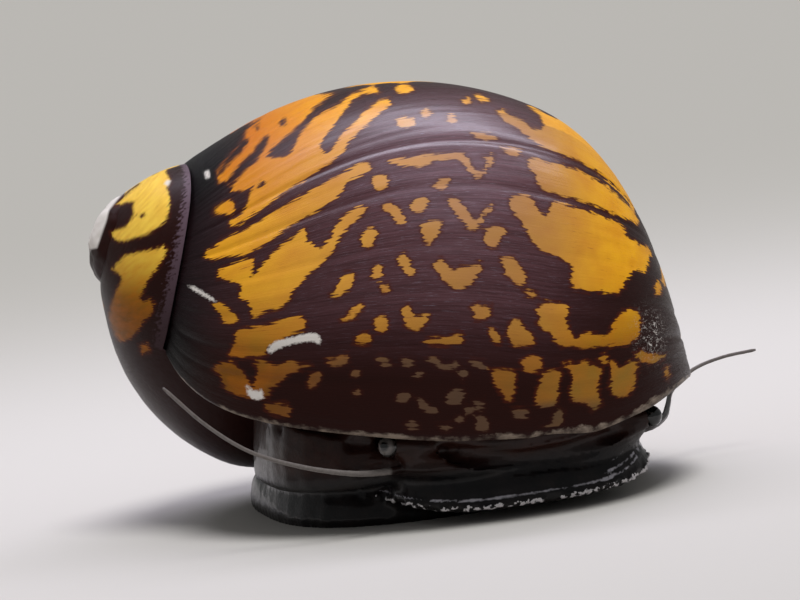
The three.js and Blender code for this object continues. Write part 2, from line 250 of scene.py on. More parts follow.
# Feelers, from root to tip.
FEELERS = {
    "right": (
        (1.5, -10.2, 2.0), (0.5, -11.0, 2.25), (-0.4, -11.6, 2.45), (-1.5, -12.3, 2.46), (-2.8, -12.7, 2.62),
        (-4.7, -12.6, 3.13), (-6.6, -12.4, 3.95), (-8.2, -12.4, 5.24), (-9.65, -12.6, 6.92)),
    "left": (
        (7.4, -10.1, 2.5), (8.2, -9.7, 2.5), (9.3, -8.7, 2.45), (10.0, -6.6, 2.5), (10.35, -4.2, 2.65),
        (10.75, -1.9, 3.0), (11.8, -0.4, 3.55), (13.1, 0.1, 3.85), (14.56, 0.2, 3.97)),
}
# Points of each feeler that keep the dark colour of the head, and how uneven its thickness is.
FEELER_DARK = {"right": 3, "left": 5}
TUBE_UNEVEN = 0.035
TUBE_SIDES = 20
TUBE_END = 0.6

# Light patches of the shell, each the outline read in the photograph's pixels.
LIGHT_PATCHES = {
    "cap upper": (
        (112, 206), (117, 203), (124, 197), (133, 189), (143, 181), (150, 172), (158, 165), (164, 166),
        (166, 172), (170, 180), (167, 188), (169, 196), (170, 204), (168, 211), (168, 217), (163, 223),
        (155, 229), (145, 235), (133, 238), (125, 241), (118, 241), (112, 237), (110, 232), (118, 230),
        (126, 227), (131, 220), (134, 214), (133, 206), (134, 201), (127, 202), (118, 205)),
    "cap lower": (
        (124, 256), (135, 253), (146, 251), (156, 249), (163, 246), (167, 248), (165, 256), (160, 263),
        (156, 270), (150, 277), (146, 284), (142, 293), (138, 300), (144, 302), (150, 299), (154, 303),
        (153, 311), (149, 317), (143, 321), (139, 329), (133, 336), (124, 342), (118, 340), (113, 330),
        (109, 318), (111, 305), (116, 291), (121, 283), (123, 277), (117, 273), (112, 269), (117, 264)),
    "cap spot": ((140, 345), (147, 343), (150, 352), (142, 354)),
    "left crown": (
        (232, 192), (243, 190), (253, 185), (250, 196), (246, 207), (240, 216), (231, 220), (229, 226),
        (235, 226), (250, 217), (262, 209), (275, 200), (290, 188), (303, 181), (313, 174), (322, 168),
        (333, 161), (343, 152), (350, 141), (360, 130), (372, 120), (384, 110), (391, 104), (389, 99),
        (380, 100), (368, 109), (380, 92), (372, 84), (350, 68), (300, 80), (258, 104), (248, 128),
        (242, 143), (234, 152), (225, 162), (217, 172), (219, 183), (226, 181), (231, 187)),
    "left isle": (
        (213, 214), (217, 207), (224, 202), (232, 200), (235, 204), (234, 211), (230, 215), (222, 214)),
    "left second": (
        (204, 257), (207, 251), (213, 248), (222, 240), (230, 236), (245, 230), (253, 225), (268, 216),
        (283, 207), (300, 197), (320, 185), (340, 175), (350, 170), (355, 165), (362, 162), (369, 162),
        (372, 166), (370, 171), (363, 174), (357, 177), (350, 180), (345, 184), (342, 192), (337, 197),
        (330, 202), (322, 208), (312, 213), (298, 221), (283, 231), (268, 242), (258, 248), (250, 253),
        (240, 255), (230, 256), (220, 258), (212, 259)),
    "left third": (
        (217, 277), (219, 270), (226, 267), (240, 262), (247, 259), (253, 259), (254, 264), (252, 271),
        (250, 277), (254, 276), (258, 270), (265, 262), (276, 250), (290, 240), (300, 231), (305, 228),
        (307, 233), (306, 240), (312, 243), (315, 247), (320, 248), (326, 243), (333, 234), (334, 227),
        (338, 222), (344, 216), (350, 211), (357, 207), (364, 206), (367, 209), (362, 215), (355, 221),
        (349, 227), (343, 233), (338, 240), (335, 248), (329, 255), (323, 262), (318, 267), (310, 272),
        (305, 278), (298, 285), (293, 291), (290, 300), (283, 306), (277, 309), (268, 311), (262, 314),
        (255, 317), (251, 315), (251, 308), (250, 302), (244, 300), (240, 298), (240, 292), (241, 287),
        (237, 283), (230, 281), (224, 280)),
    "left drop": (
        (213, 304), (220, 303), (228, 308), (235, 315), (238, 320), (232, 325), (224, 323), (218, 311)),
    "left fourth": (
        (236, 332), (240, 330), (252, 328), (262, 326), (275, 322), (285, 319), (295, 317), (301, 316),
        (305, 319), (307, 325), (303, 330), (293, 334), (283, 338), (272, 343), (268, 348), (266, 354),
        (255, 357), (243, 357), (229, 356), (232, 348), (235, 341)),
    "left olive": (
        (213, 368), (220, 364), (230, 362), (237, 366), (245, 374), (250, 385), (254, 386), (256, 378),
        (258, 371), (254, 364), (262, 361), (270, 364), (276, 366), (290, 362), (300, 365), (311, 364),
        (298, 370), (290, 374), (282, 380), (275, 386), (270, 388), (268, 396), (262, 399), (252, 398),
        (245, 396), (236, 395), (228, 391), (223, 385), (222, 378), (217, 373)),
    "left low": ((266, 404), (278, 403), (288, 405), (291, 410), (288, 416), (275, 415), (266, 410)),
    "right crown": (
        (497, 112), (505, 121), (516, 128), (528, 137), (537, 144), (546, 149), (560, 154), (575, 159),
        (590, 167), (602, 175), (613, 184), (624, 195), (632, 204), (640, 217), (643, 223), (665, 240),
        (655, 190), (604, 128), (545, 95), (523, 101), (533, 110), (541, 117), (544, 125), (541, 130),
        (534, 129), (524, 122), (512, 116), (502, 109)),
    "right second": (
        (527, 157), (535, 158), (545, 161), (555, 163), (565, 166), (578, 170), (590, 176), (600, 182),
        (609, 188), (618, 196), (625, 203), (632, 209), (638, 217), (643, 226), (630, 221), (622, 217),
        (603, 209), (594, 205), (577, 199), (558, 196), (550, 193), (543, 190), (540, 186), (537, 180),
        (535, 174), (530, 170), (528, 163)),
    "right third": (
        (509, 199), (514, 196), (522, 194), (529, 195), (533, 200), (537, 207), (541, 214), (545, 217),
        (549, 212), (551, 204), (556, 201), (563, 203), (572, 207), (583, 210), (594, 213), (602, 216),
        (610, 220), (618, 223), (624, 228), (626, 236), (632, 240), (638, 243), (645, 246), (650, 250),
        (653, 255), (649, 258), (648, 265), (645, 272), (638, 270), (632, 272), (629, 278), (625, 281),
        (623, 288), (618, 293), (610, 293), (598, 291), (586, 290), (578, 289), (573, 288), (571, 283),
        (572, 274), (573, 268), (571, 264), (565, 260), (556, 256), (548, 253), (540, 250), (535, 244),
        (530, 238), (527, 232), (523, 224), (518, 217), (513, 212), (510, 206)),
    "right edge": ((655, 283), (659, 281), (662, 288), (660, 295), (656, 294)),
    "right cup": (
        (540, 306), (546, 302), (554, 303), (562, 304), (568, 307), (568, 313), (565, 320), (568, 327),
        (571, 334), (576, 338), (583, 335), (592, 333), (600, 336), (606, 336), (611, 331), (613, 324),
        (618, 317), (624, 311), (630, 309), (637, 312), (640, 318), (640, 327), (639, 334), (634, 340),
        (628, 344), (618, 345), (605, 346), (590, 347), (575, 347), (562, 346), (556, 342), (553, 336),
        (548, 331), (541, 327), (537, 322), (539, 316), (537, 311)),
    "right low a": (
        (490, 371), (500, 369), (510, 370), (516, 374), (515, 382), (514, 390), (512, 398), (508, 402),
        (503, 396), (498, 389), (494, 381)),
    "right low b": (
        (520, 362), (526, 358), (533, 356), (540, 358), (542, 363), (540, 369), (533, 373), (527, 372)),
    "right low c": (
        (541, 380), (544, 374), (550, 370), (557, 370), (561, 372), (560, 380), (558, 388), (558, 396),
        (556, 403), (550, 407), (542, 407), (535, 403), (536, 397), (538, 390), (540, 385)),
    "right low d": (
        (563, 364), (570, 363), (577, 365), (583, 360), (588, 361), (590, 366), (597, 367), (603, 369),
        (600, 375), (598, 382), (598, 390), (599, 397), (602, 403), (597, 408), (592, 410), (586, 404),
        (578, 402), (573, 402), (571, 396), (571, 388), (573, 380), (571, 373), (567, 368)),
    "right low e": (
        (610, 361), (615, 362), (619, 368), (625, 367), (630, 361), (636, 361), (638, 367), (635, 374),
        (636, 381), (633, 389), (628, 395), (620, 396), (613, 394), (610, 388), (612, 380), (611, 372)),
    "right low f": ((600, 358), (604, 354), (608, 358), (606, 364), (601, 363)),
    "crown bar": (
        (388, 161), (397, 158), (408, 157), (420, 155), (432, 154), (446, 153), (458, 152), (464, 154),
        (469, 161), (474, 168), (479, 174), (484, 169), (487, 162), (483, 157), (490, 153), (496, 157),
        (492, 163), (487, 170), (482, 177), (476, 178), (470, 173), (464, 164), (458, 160), (446, 160),
        (436, 160), (428, 164), (418, 167), (406, 166), (395, 164)),
    "crown vee": (
        (447, 199), (454, 197), (460, 201), (465, 207), (468, 213), (473, 219), (477, 221), (481, 214),
        (486, 207), (491, 203), (494, 205), (490, 212), (484, 218), (479, 226), (474, 230), (468, 229),
        (463, 222), (457, 215), (451, 207)),
    "crown cup": (
        (434, 266), (437, 260), (441, 258), (446, 263), (449, 268), (456, 270), (461, 266), (467, 268),
        (474, 265), (480, 263), (481, 270), (477, 278), (470, 284), (463, 288), (458, 290), (452, 287),
        (446, 281), (441, 278), (437, 273)),
    "spot 1": (
        (372, 181), (374, 176), (380, 174), (387, 176), (389, 181), (386, 187), (380, 190), (375, 188)),
    "spot 2": (
        (383, 205), (390, 201), (397, 206), (402, 212), (406, 220), (404, 225), (399, 225), (395, 219),
        (390, 213), (384, 209)),
    "spot 3": ((410, 205), (417, 199), (424, 197), (429, 201), (427, 207), (420, 212), (413, 212)),
    "spot 4": (
        (421, 224), (428, 221), (436, 221), (443, 222), (441, 229), (437, 237), (432, 243), (428, 245),
        (424, 240), (421, 232)),
    "spot 5": ((433, 186), (438, 181), (444, 178), (450, 178), (448, 185), (443, 189), (437, 190)),
    "spot 6": (
        (361, 235), (366, 230), (372, 228), (377, 231), (377, 236), (373, 243), (368, 248), (362, 245)),
    "spot 7": (
        (484, 236), (487, 230), (493, 227), (500, 226), (506, 227), (505, 234), (500, 240), (497, 247),
        (492, 249), (487, 247), (485, 241)),
    "spot 8": (
        (397, 258), (400, 255), (405, 253), (408, 258), (411, 264), (415, 271), (413, 276), (409, 277),
        (406, 272), (402, 267), (398, 262)),
    "spot 9": (
        (371, 279), (373, 271), (375, 265), (379, 264), (382, 269), (383, 275), (379, 278), (374, 280)),
    "spot 10": (
        (500, 259), (505, 257), (512, 257), (517, 262), (521, 268), (526, 274), (526, 282), (522, 287),
        (516, 285), (511, 278), (506, 273), (503, 266)),
    "spot 11": (
        (330, 296), (336, 291), (338, 286), (341, 279), (346, 274), (352, 272), (355, 275), (353, 282),
        (350, 289), (343, 293), (337, 297)),
    "spot 12": (
        (340, 322), (345, 318), (350, 312), (355, 308), (361, 304), (364, 307), (361, 312), (355, 317),
        (348, 321)),
    "spot 13": (
        (402, 313), (405, 307), (409, 305), (411, 311), (415, 316), (420, 316), (426, 313), (430, 315),
        (427, 322), (422, 328), (416, 331), (410, 329), (405, 323)),
    "spot 14": (
        (373, 321), (378, 318), (384, 315), (388, 321), (388, 328), (383, 333), (379, 333), (375, 327)),
    "spot 15": ((353, 343), (356, 338), (362, 333), (368, 332), (371, 337), (369, 343), (362, 345)),
    "spot 16": (
        (424, 341), (432, 337), (448, 338), (455, 334), (461, 333), (464, 337), (463, 343), (448, 344),
        (430, 344)),
    "spot 17": (
        (507, 333), (509, 325), (513, 319), (518, 318), (522, 325), (528, 331), (533, 336), (535, 341),
        (532, 346), (524, 346), (515, 345), (510, 341)),
    "spot 18": ((488, 329), (493, 328), (498, 333), (501, 341), (497, 344), (492, 339)),
    "spot 19": ((470, 306), (477, 303), (484, 308), (491, 305), (491, 314), (485, 319), (476, 320)),
    "spot 20": (
        (307, 385), (309, 377), (313, 373), (320, 372), (322, 376), (320, 381), (316, 386), (310, 388)),
    "spot 21": ((326, 360), (337, 358), (348, 355), (349, 362), (342, 366), (332, 366)),
    "spot 22": ((375, 358), (382, 357), (390, 361), (393, 365), (385, 367), (378, 363)),
    "spot 23": ((400, 359), (408, 358), (415, 360), (416, 365), (408, 368), (402, 364)),
    "spot 24": (
        (424, 360), (430, 358), (437, 358), (442, 363), (449, 366), (455, 362), (459, 366), (452, 370),
        (444, 370), (434, 364)),
    "spot 25": ((395, 400), (400, 393), (406, 391), (410, 395), (408, 402), (402, 404)),
    "spot 26": (
        (446, 398), (450, 392), (456, 390), (465, 391), (464, 397), (460, 403), (453, 405), (448, 403)),
    "spot 27": ((350, 375), (354, 370), (360, 372), (356, 377)),
    "spot 28": ((413, 376), (418, 371), (423, 373), (420, 379)),
    "spot 29": ((353, 394), (358, 388), (363, 393), (358, 398)),
    "spot 30": ((459, 372), (465, 370), (468, 375), (461, 379)),
    "spot 31": ((470, 360), (480, 360), (488, 366), (482, 370), (474, 366)),
    "spot 32": ((511, 410), (518, 408), (528, 411), (527, 417), (520, 419), (513, 416)),
    "spot 33": ((551, 420), (558, 409), (565, 411), (562, 422), (556, 430)),
    "spot 34": ((470, 131), (480, 133), (490, 134), (498, 138), (488, 141), (475, 138)),
    "spot 35": ((500, 147), (512, 148), (523, 151), (516, 156), (505, 153)),
    "spot 36": ((396, 120), (404, 117), (414, 118), (416, 124), (408, 128), (399, 127)),
    "spot 37": ((419, 113), (427, 109), (433, 113), (426, 117)),
    "spot 38": ((445, 117), (452, 114), (458, 120), (450, 124)),
    "spot 39": ((395, 88), (402, 84), (410, 85), (414, 90), (405, 93), (397, 92)),
    "spot 40": ((461, 101), (467, 97), (472, 102), (465, 106)),
    "spot 41": ((474, 94), (482, 95), (489, 100), (480, 102)),
    "spot 42": ((524, 293), (531, 289), (538, 294), (531, 298)),
    "spot 43": ((380, 285), (388, 283), (390, 289), (384, 293)),
    "lip blotch 1": ((417, 399), (423, 400), (428, 406), (437, 408), (437, 413), (428, 413), (420, 407)),
    "lip blotch 2": ((472, 401), (485, 400), (485, 406), (475, 408)),
    "lip blotch 3": ((464, 407), (472, 407), (474, 412), (466, 414)),
    "lip blotch 4": ((476, 417), (483, 415), (489, 422), (490, 431), (481, 432), (475, 426)),
    "lip blotch 5": ((403, 424), (412, 421), (420, 427), (410, 430)),
    "lip blotch 6": ((438, 426), (447, 424), (452, 431), (443, 434)),
    "lip blotch 7": ((455, 415), (464, 415), (465, 421), (457, 422)),
    "lip blotch 8": ((536, 433), (545, 428), (552, 424), (561, 427), (568, 432), (558, 435), (546, 435)),
    "right low g": (
        (635, 355), (641, 351), (650, 354), (660, 355), (665, 354), (661, 360), (650, 364), (640, 361)),
    "right low h": ((664, 370), (668, 366), (669, 375), (666, 380)),
}
# Dark slashes that cut into the light patches of the crown.
DARK_SLASHES = {
    "first": (
        (230, 188), (238, 178), (246, 170), (256, 162), (263, 152), (268, 142), (270, 136), (264, 136),
        (259, 143), (252, 152), (244, 160), (236, 168), (229, 177), (226, 183)),
    "second": (
        (221, 176), (226, 168), (233, 160), (241, 152), (248, 144), (249, 138), (243, 139), (236, 147),
        (228, 156), (221, 165), (217, 174)),
    "third": (
        (266, 157), (275, 158), (285, 157), (291, 152), (296, 143), (300, 134), (307, 125), (314, 118),
        (324, 112), (335, 107), (343, 101), (352, 95), (376, 84), (376, 74), (345, 84), (334, 93),
        (322, 101), (312, 110), (305, 119), (296, 128), (288, 135), (280, 141), (272, 148)),
    "fourth": (
        (322, 151), (328, 153), (333, 148), (337, 141), (343, 133), (350, 127), (357, 120), (365, 112),
        (372, 106), (380, 100), (384, 95), (375, 92), (362, 94), (352, 101), (345, 110), (339, 118),
        (331, 129), (323, 140), (320, 146)),
    "dot 1": ((254, 127), (259, 124), (260, 129), (256, 131)),
    "dot 2": ((278, 127), (281, 120), (287, 117), (285, 125)),
    "dot 3": ((258, 188), (262, 187), (266, 182), (262, 180), (258, 184)),
    "dot 4": ((137, 216), (143, 213), (147, 214), (142, 218)),
}
# Pale worn places and chips; the apex edge is partly a painted highlight along the rim.
WEAR_AND_GLINT_PLACES = {
    "cap rim": ((160, 166), (165, 163), (172, 163), (171, 166), (164, 168)),
    "apex edge and rim glint": (
        (88, 250), (86, 238), (90, 222), (100, 210), (112, 196), (126, 186), (128, 188), (118, 199),
        (109, 210), (106, 222), (101, 236), (97, 248)),
    "cap fleck": ((164, 184), (167, 180), (171, 181), (168, 186)),
    "chip left": (
        (267, 350), (270, 345), (276, 341), (285, 339), (297, 336), (308, 333), (316, 333), (320, 337),
        (322, 343), (318, 344), (313, 341), (305, 342), (293, 344), (283, 347), (276, 350), (270, 354)),
    "chip low": (
        (246, 384), (249, 385), (250, 390), (255, 391), (262, 390), (264, 398), (258, 400), (252, 399),
        (247, 393)),
    "pale streak": (
        (188, 286), (194, 286), (203, 292), (212, 297), (217, 302), (210, 300), (200, 294), (193, 290)),
    "shoulder fleck": ((204, 172), (209, 170), (210, 177), (206, 179)),
}
# How far the worn tip lies along the axis, and its radius.
WORN_TIP_AT = 0.75
WORN_TIP = 0.85
WORN_TIP_REACH = 4.0
WORN_TIP_RAGGED = 0.45
# Up to this picture column the spots near the lip are dim for longer, by their growth.
DIM_UP_TO = 490.0
DIM_FROM = (-15.0, -6.5)
SCRATCHED_PLACE = (652.0, 334.0)
SCRATCHED_SPREAD = (13.0, 20.0)

# Where fields of the shell's finish start and end: by the cosine of the angle to the camera, degrees
# of growth before the lip, or layout millimetres of height, across or over the next turn.
PICTURED = (0.02, 0.2)
# Growth over which the crown's scratches and painted sheen start and end.
SHEEN_STARTS = (-95, -68)
SHEEN_ENDS = (-26, -8)
# Umber turns to amber over these heights, each raised by a share of the way across: painted light.
AMBER_SUNLIT = (5.2, 9.6)
# Olive low on the right side: partly painted shade.
OLIVE_ACROSS = (2, 6)
OLIVE_HEIGHT = (5, 6.5)
ORANGE_ACROSS = (-6.5, 1.0)
ORANGE_HEIGHT = (11.5, 16)
# The painted shade of the seam fades out between these heights over the turn before.
SEAM_SHADE_HEIGHT = (0.3, 3.2)
# Over these heights the cap's painted highlight and its worn band grow.
CAP_HEIGHT = (6.5, 13.5)
SHADE_HEIGHT = (4, 10)
SHADE_ACROSS = (-9, -3)
BROAD_LIP_ACROSS = (4.5, 8.5)
# Places on the shell: the middle along the mouth in degrees and the half width of the scratched crown with
# its painted sheen before and after its middle, of the duller patches and of the dim ones, with their
# amounts.
SHEEN_SPREAD = (34, 20)
SHEEN_AGE = (-52, 24)
SHEEN_LEAST = 0.55
DULL_PATCHES = (80, 20)
DULL_PATCHES_SINCE = -70
DULL_AMOUNT = 0.65
DIM_PATCHES = (82, 27, 4)
DIM_AMOUNT = 0.85
# Painted light on the patches: they are lighter to the right, by a share of the way across, and darker on
# the cap, which is painted shade.
SUNLIT_ACROSS = 0.22
CAP_PAINTED_SHADE = 1.3
# Orange in the patches of the cap and of the whorl, and the least share of the cap low down, where its
# painted highlight and its worn band are weakest.
ORANGE_SHARES = (0.1, 0.9)
CAP_LEAST = 0.12
# How pale the face of the lip is and how much broader its pale edge is on the right, in millimetres.
LIP_FACE = 0.12
LIP_BROADER = 0.18
# Bands of large patches round the hidden sides: degrees along the mouth and half width.
BACK_BANDS = ((48, 17), (118, 22))
# Heights between which the skin turns to the mantle's, and distances from a feeler's middle.
MANTLE_HEIGHT = (1.9, 2.8)
# Painted glints on the snout's rim: the share everywhere, on bumps and towards its left.
GLINT_SHARES = (0.78, 0.5, 0.2)
FEELER_SKIN = (0.27, 0.36)

# Noise of the shell's finish: cells for each millimetre along the lip and across the growth lines,
# then detail, roughness and distortion. The teeth are 0.9 mm long and 0.13 mm from line to line.
SHELL_GRAIN = {
    "teeth": (1.1, 7.5, 3.0, 0.5, 0.0),
    "wobble": (2.2, 2.2, 1.0, 0.5, 0.0),
    "lines": (0.35, 9.0, 5.0, 0.7, 0.0),
    "scratches": (1.3, 30.0, 4.0, 0.7, 0.0),
    "cloud": (0.7, 0.7, 3.0, 0.5, 0.0),
    "dashes": (0.8, 12.0, 5.0, 0.75, 0.0),
    "chalk": (6.0, 6.0, 4.0, 0.7, 0.0),
    "flecks": (3.4, 4.6, 5.0, 0.8, 1.2),
    "blotches": (1.0, 1.8, 4.0, 0.65, 0.0),
}
# Noise of the skin's finish: cells for each millimetre and detail. The blotches are about 1.2 mm, the grain
# and the pale specks of painted glint about 0.1 mm, and the painted shine of the folds breaks up at about 1
# mm.
SKIN_GRAIN = {"blotches": (0.8, 4.0), "grain": (8.0, 3.0), "flecks": (5.5, 2.0), "breaks": (1.6, 3.0)}

# Light: where the sun-like key comes from and how wide it is, and the softboxes with their place,
# sides and colour.
KEY_FROM = (0.12, -0.22, 1.0)
KEY_WIDTH = 25.0
SOFTBOXES = (
    ("Strip", (2.0, 48.0, 92.0), (120.0, 22.0), "#efecff"),
    ("Panel", (3.0, 2.0, 98.0), (75.0, 60.0), "#e9e4ff"),
)
FLOOR_HALF = 6000.0
SENSOR_WIDTH = 36.0


def linear(code):
    """A linear colour with its alpha, from an sRGB hex value."""
    parts = [int(code[i:i + 2], 16) / 255 for i in (1, 3, 5)]
    return tuple(p / 12.92 if p <= 0.04045 else ((p + 0.055) / 1.055) ** 2.4 for p in parts) + (1.0,)


def colour_property(name, description, code):
    """A colour that the user can change."""
    return FloatVectorProperty(
        name=name, description=description, subtype="COLOR", size=4, min=0, max=1, default=linear(code))


def length_property(name, description, default):
    """A length in millimetres that the user can change."""
    return FloatProperty(
        name=name, description=description, default=default * MM, min=0.01 * MM, unit="LENGTH", precision=5)


class NeriteSizes(bpy.types.PropertyGroup):
    """Sizes of the surface detail."""
    skin_voxel: length_property("Skin grain", "Size of the cells that join the flesh", 0.14)
    skin_close: length_property("Joint closing", "How far the flesh grows to close its joints", 0.18)
    feeler_root: length_property("Feeler root", "Radius of a feeler at its root", 0.27)
    feeler_tip: length_property("Feeler tip", "Radius of a feeler at its tip", 0.07)
    papilla: length_property("Snout bumps", "Height of the bumps on the rim of the snout", 0.09)
    skin_smoothing: IntProperty(
        name="Skin smoothing", description="Passes that smooth the joined flesh", default=8, min=0)


class NeriteColours(bpy.types.PropertyGroup):
    """Colours of the shell and the body."""
    ground: colour_property("Ground", "Dark ground of the shell", "#26110e")
    # Purple-grey of the crown: partly fine scratches, partly painted sheen.
    bloom: colour_property("Dull crown", "Scratched, duller ground of the crown", "#6d4a51")
    rust: colour_property("Patch edge", "Red-brown edge of the light patches", "#4a1c0e")
    # Amber above, umber and olive low down: partly the patches' own colour, partly painted light and shade.
    amber: colour_property("Amber", "Light patches high on the shell", "#f2ae16")
    orange: colour_property("Orange", "Light patches towards the spire", "#bb5f08")
    umber: colour_property("Umber", "Light patches low on the shell", "#7a4c14")
    olive: colour_property("Olive", "Light patches low beside the base", "#8f6a28")
    # Pale of worn places, also a painted highlight along the apex rim.
    worn: colour_property("Worn", "Worn chalky layer", "#d8d2cb")
    lip: colour_property("Lip", "Thin growing edge of the shell", "#85776a")
    skin: colour_property("Skin", "Wet skin of head and foot", "#09080a")
    mantle: colour_property("Mantle", "Brown skin under the lip", "#2c1813")
    feeler: colour_property("Feeler", "Grey skin of the feelers", "#7f7874")
    horn: colour_property("Horn", "Horny plate on the foot", "#6b4a36")


class NeriteStage(bpy.types.PropertyGroup):
    """Light and floor."""
    world: FloatProperty(name="Room light", description="Strength of the even light", default=0.26, min=0)
    key: FloatProperty(name="Key light", description="Strength of the soft key light", default=2.15, min=0)
    strip: FloatProperty(
        name="Strip", description="Power of the narrow softbox behind the shell", default=0.06, min=0,
        unit="POWER")
    panel: FloatProperty(
        name="Panel", description="Power of the wide softbox over the shell", default=0.016, min=0,
        unit="POWER")
    floor: colour_property("Floor", "Pale floor", "#c6c3be")


def metres(points):
    """Layout millimetres as metres in the frame of the solids."""
    return (np.asarray(points, float) + LAYOUT_SHIFT) * MM


def metre_vector(point):
    """One layout point in metres."""
    return Vector(metres(point).tolist())


def layout(points):
    """Metres in the frame of the solids as layout millimetres."""
    return np.asarray(points, float) / MM - LAYOUT_SHIFT


def smooth_step(value, low, high):
    share = np.clip((value - low) / (high - low), 0, 1)
    return share * share * (3 - 2 * share)


def bell(value, middle, spread, power=2):
    """One in the middle, falling away to nothing on both sides."""
    return np.exp(-((value - middle) / spread) ** power)


def unit(vector):
    return vector / np.linalg.norm(vector)


def camera_axes():
    """Right, up and viewing directions of the camera."""
    tilt = math.radians(CAMERA_ELEVATION)
    roll = math.radians(CAMERA_ROLL)
    level = np.array([1.0, 0.0, 0.0])
    upward = np.array([0.0, math.sin(tilt), math.cos(tilt)])
    look = np.array([0.0, math.cos(tilt), -math.sin(tilt)])
    right = math.cos(roll) * level - math.sin(roll) * upward
    above = math.sin(roll) * level + math.cos(roll) * upward
    return right, above, look


CAMERA_RIGHT, CAMERA_UP, CAMERA_LOOK = camera_axes()
CAMERA_EYE = CAMERA_TARGET - CAMERA_LOOK * CAMERA_DISTANCE


def in_picture(points):
    """Where layout points fall in the photograph, in pixels."""
    away = points - CAMERA_EYE
    scale = FOCAL_PIXELS / (away @ CAMERA_LOOK)
    across = PICTURE_MIDDLE[0] + (away @ CAMERA_RIGHT) * scale
    down = PICTURE_MIDDLE[1] - (away @ CAMERA_UP) * scale
    return np.stack([across, down], axis=1)


def line_distance(points, a, b):
    """Distance of points to the straight line between two ends."""
    side = b - a
    away = points - a
    share = np.clip((away @ side) / (side @ side), 0, 1)
    return np.linalg.norm(away - share[:, None] * side, axis=1)


def outline_distance(points, outline):
    """Signed distance of pixels to an outline, positive inside it."""
    corners = np.array(outline, float)
    nearest = np.full(len(points), FAR)
    inside = np.zeros(len(points), bool)
    for a, b in zip(corners, np.roll(corners, -1, axis=0)):
        nearest = np.minimum(nearest, line_distance(points, a, b))
        crosses = (a[1] > points[:, 1]) != (b[1] > points[:, 1])
        rise = b[1] - a[1] if b[1] != a[1] else 1 / FAR
        inside ^= crosses & (points[:, 0] < a[0] + (points[:, 1] - a[1]) * (b - a)[0] / rise)
    return np.where(inside, nearest, -nearest)


def outline_field(points, outlines, cuts=None):
    """Signed distance in millimetres to a set of outlines, less a set of cuts."""
    field = np.full(len(points), NOWHERE)
    for outline in outlines.values():
        field = np.maximum(field, outline_distance(points, outline))
    for outline in (cuts or {}).values():
        field = np.minimum(field, -outline_distance(points, outline))
    return field / PIXELS_PER_MM


# Shell directions: along the axis to the base, towards the front, and up.
AXIS = np.array([
    math.cos(math.radians(AXIS_DIP)) * math.cos(math.radians(AXIS_YAW)),
    math.cos(math.radians(AXIS_DIP)) * math.sin(math.radians(AXIS_YAW)),
    -math.sin(math.radians(AXIS_DIP)),
])
FRONT = unit(np.array([0.0, -1.0, 0.0]) + AXIS * AXIS[1])
OVER = np.cross(FRONT, AXIS)
DOME_CENTRE = SHELL_APEX + APEX_DOME_AT * AXIS


def lip_turn(along):
    """Turn of the lip, in radians, at a place along the mouth from 0 at the spire to pi at the base."""
    c = np.cos(along)
    return np.radians(LIP_LAG[0] + LIP_LAG[1] * c + LIP_LAG[2] * c ** 2 + LIP_LAG[3] * c ** 3)


def mouth_line(along, turn, wall=0.0, out=0.0):
    """Distance along and from the axis of a place on the mouth at a turn."""
    degrees = np.degrees(turn)
    fall = np.clip((degrees - SHOULDER_FALL[0]) / (SHOULDER_FALL[1] - SHOULDER_FALL[0]), 0, 1)
    spireward = along < math.pi / 2
    reach = np.where(spireward, MOUTH_TO_SPIRE, MOUTH_TO_BASE)
    power = np.where(spireward, SHOULDER_EARLY + (SHOULDER_AT_LIP - SHOULDER_EARLY) * fall, 1.0)
    pad = SHOULDER_PAD * (1 - fall) * bell(np.degrees(along), SHOULDER_PAD_AT, SHOULDER_PAD_SPREAD)
    swell = 1 + SPIRE_SWELL * (1 - smooth_step(degrees, *SPIRE_SWELL_TURNS))
    size = np.exp(GROWTH_RATE * turn)
    radius = MOUTH_RADIUS * swell * np.maximum(np.sin(along), 0) ** power + pad
    axial = (MOUTH_MIDDLE - (1 - wall) * reach * np.cos(along)) * size - out * np.cos(along)
    radial = (1 - wall) * radius * size + out * np.sin(along)
    return axial, radial


def on_shell(axial, radial, turn):
    """Layout point at a distance along and from the axis and a turn round it."""
    across = radial * np.cos(turn)
    over = -radial * np.sin(turn)
    return SHELL_APEX + axial[:, None] * AXIS + across[:, None] * FRONT + over[:, None] * OVER


def other_turn(axial, turn, step):
    """Radius of the turn before or after at the same place, or a negative number where there is none."""
    there = turn + step * 2 * math.pi
    share = MOUTH_MIDDLE - axial / np.exp(GROWTH_RATE * there)
    share = share / np.where(share > 0, MOUTH_TO_SPIRE, MOUTH_TO_BASE)
    along = np.arccos(np.clip(share, -1, 1))
    real = (np.abs(share) <= 1) & (there <= lip_turn(along))
    return np.where(real, mouth_line(along, there)[1], NOWHERE)


def seam_place(along, growth, row):
    """Where each row of the sheet ends, because the next turn lies over it from there on."""
    turn = lip_turn(along) + np.radians(growth)
    axial, radial = mouth_line(along, turn)
    step = np.interp(growth, *zip(*SEAM_STEPS)) * np.exp(GROWTH_RATE * turn)
    over = other_turn(axial, turn, 1) - radial + step
    order = np.lexsort((along, row))
    ends = np.full(len(along), math.pi)
    for line in order.reshape(len(np.unique(np.round(row, 6))), -1):
        covered = np.nonzero(over[line] > 0)[0]
        if len(covered) == 0 or covered[0] == 0:
            continue
        last, first = line[covered[0] - 1], line[covered[0]]
        share = 1.0
        if over[last] > NOWHERE / 20:
            share = -over[last] / (over[first] - over[last])
        ends[line] = along[last] + share * (along[first] - along[last])
    return ends


def growth_age(along, growth):
    """Growth before the lip, bent so that old lips are lines of one value."""
    off = (np.degrees(along) - REST_MIDDLE) / REST_SPREAD
    return growth * (1 + REST_BEND * np.clip(off, -1.2, 1.2) ** 2)


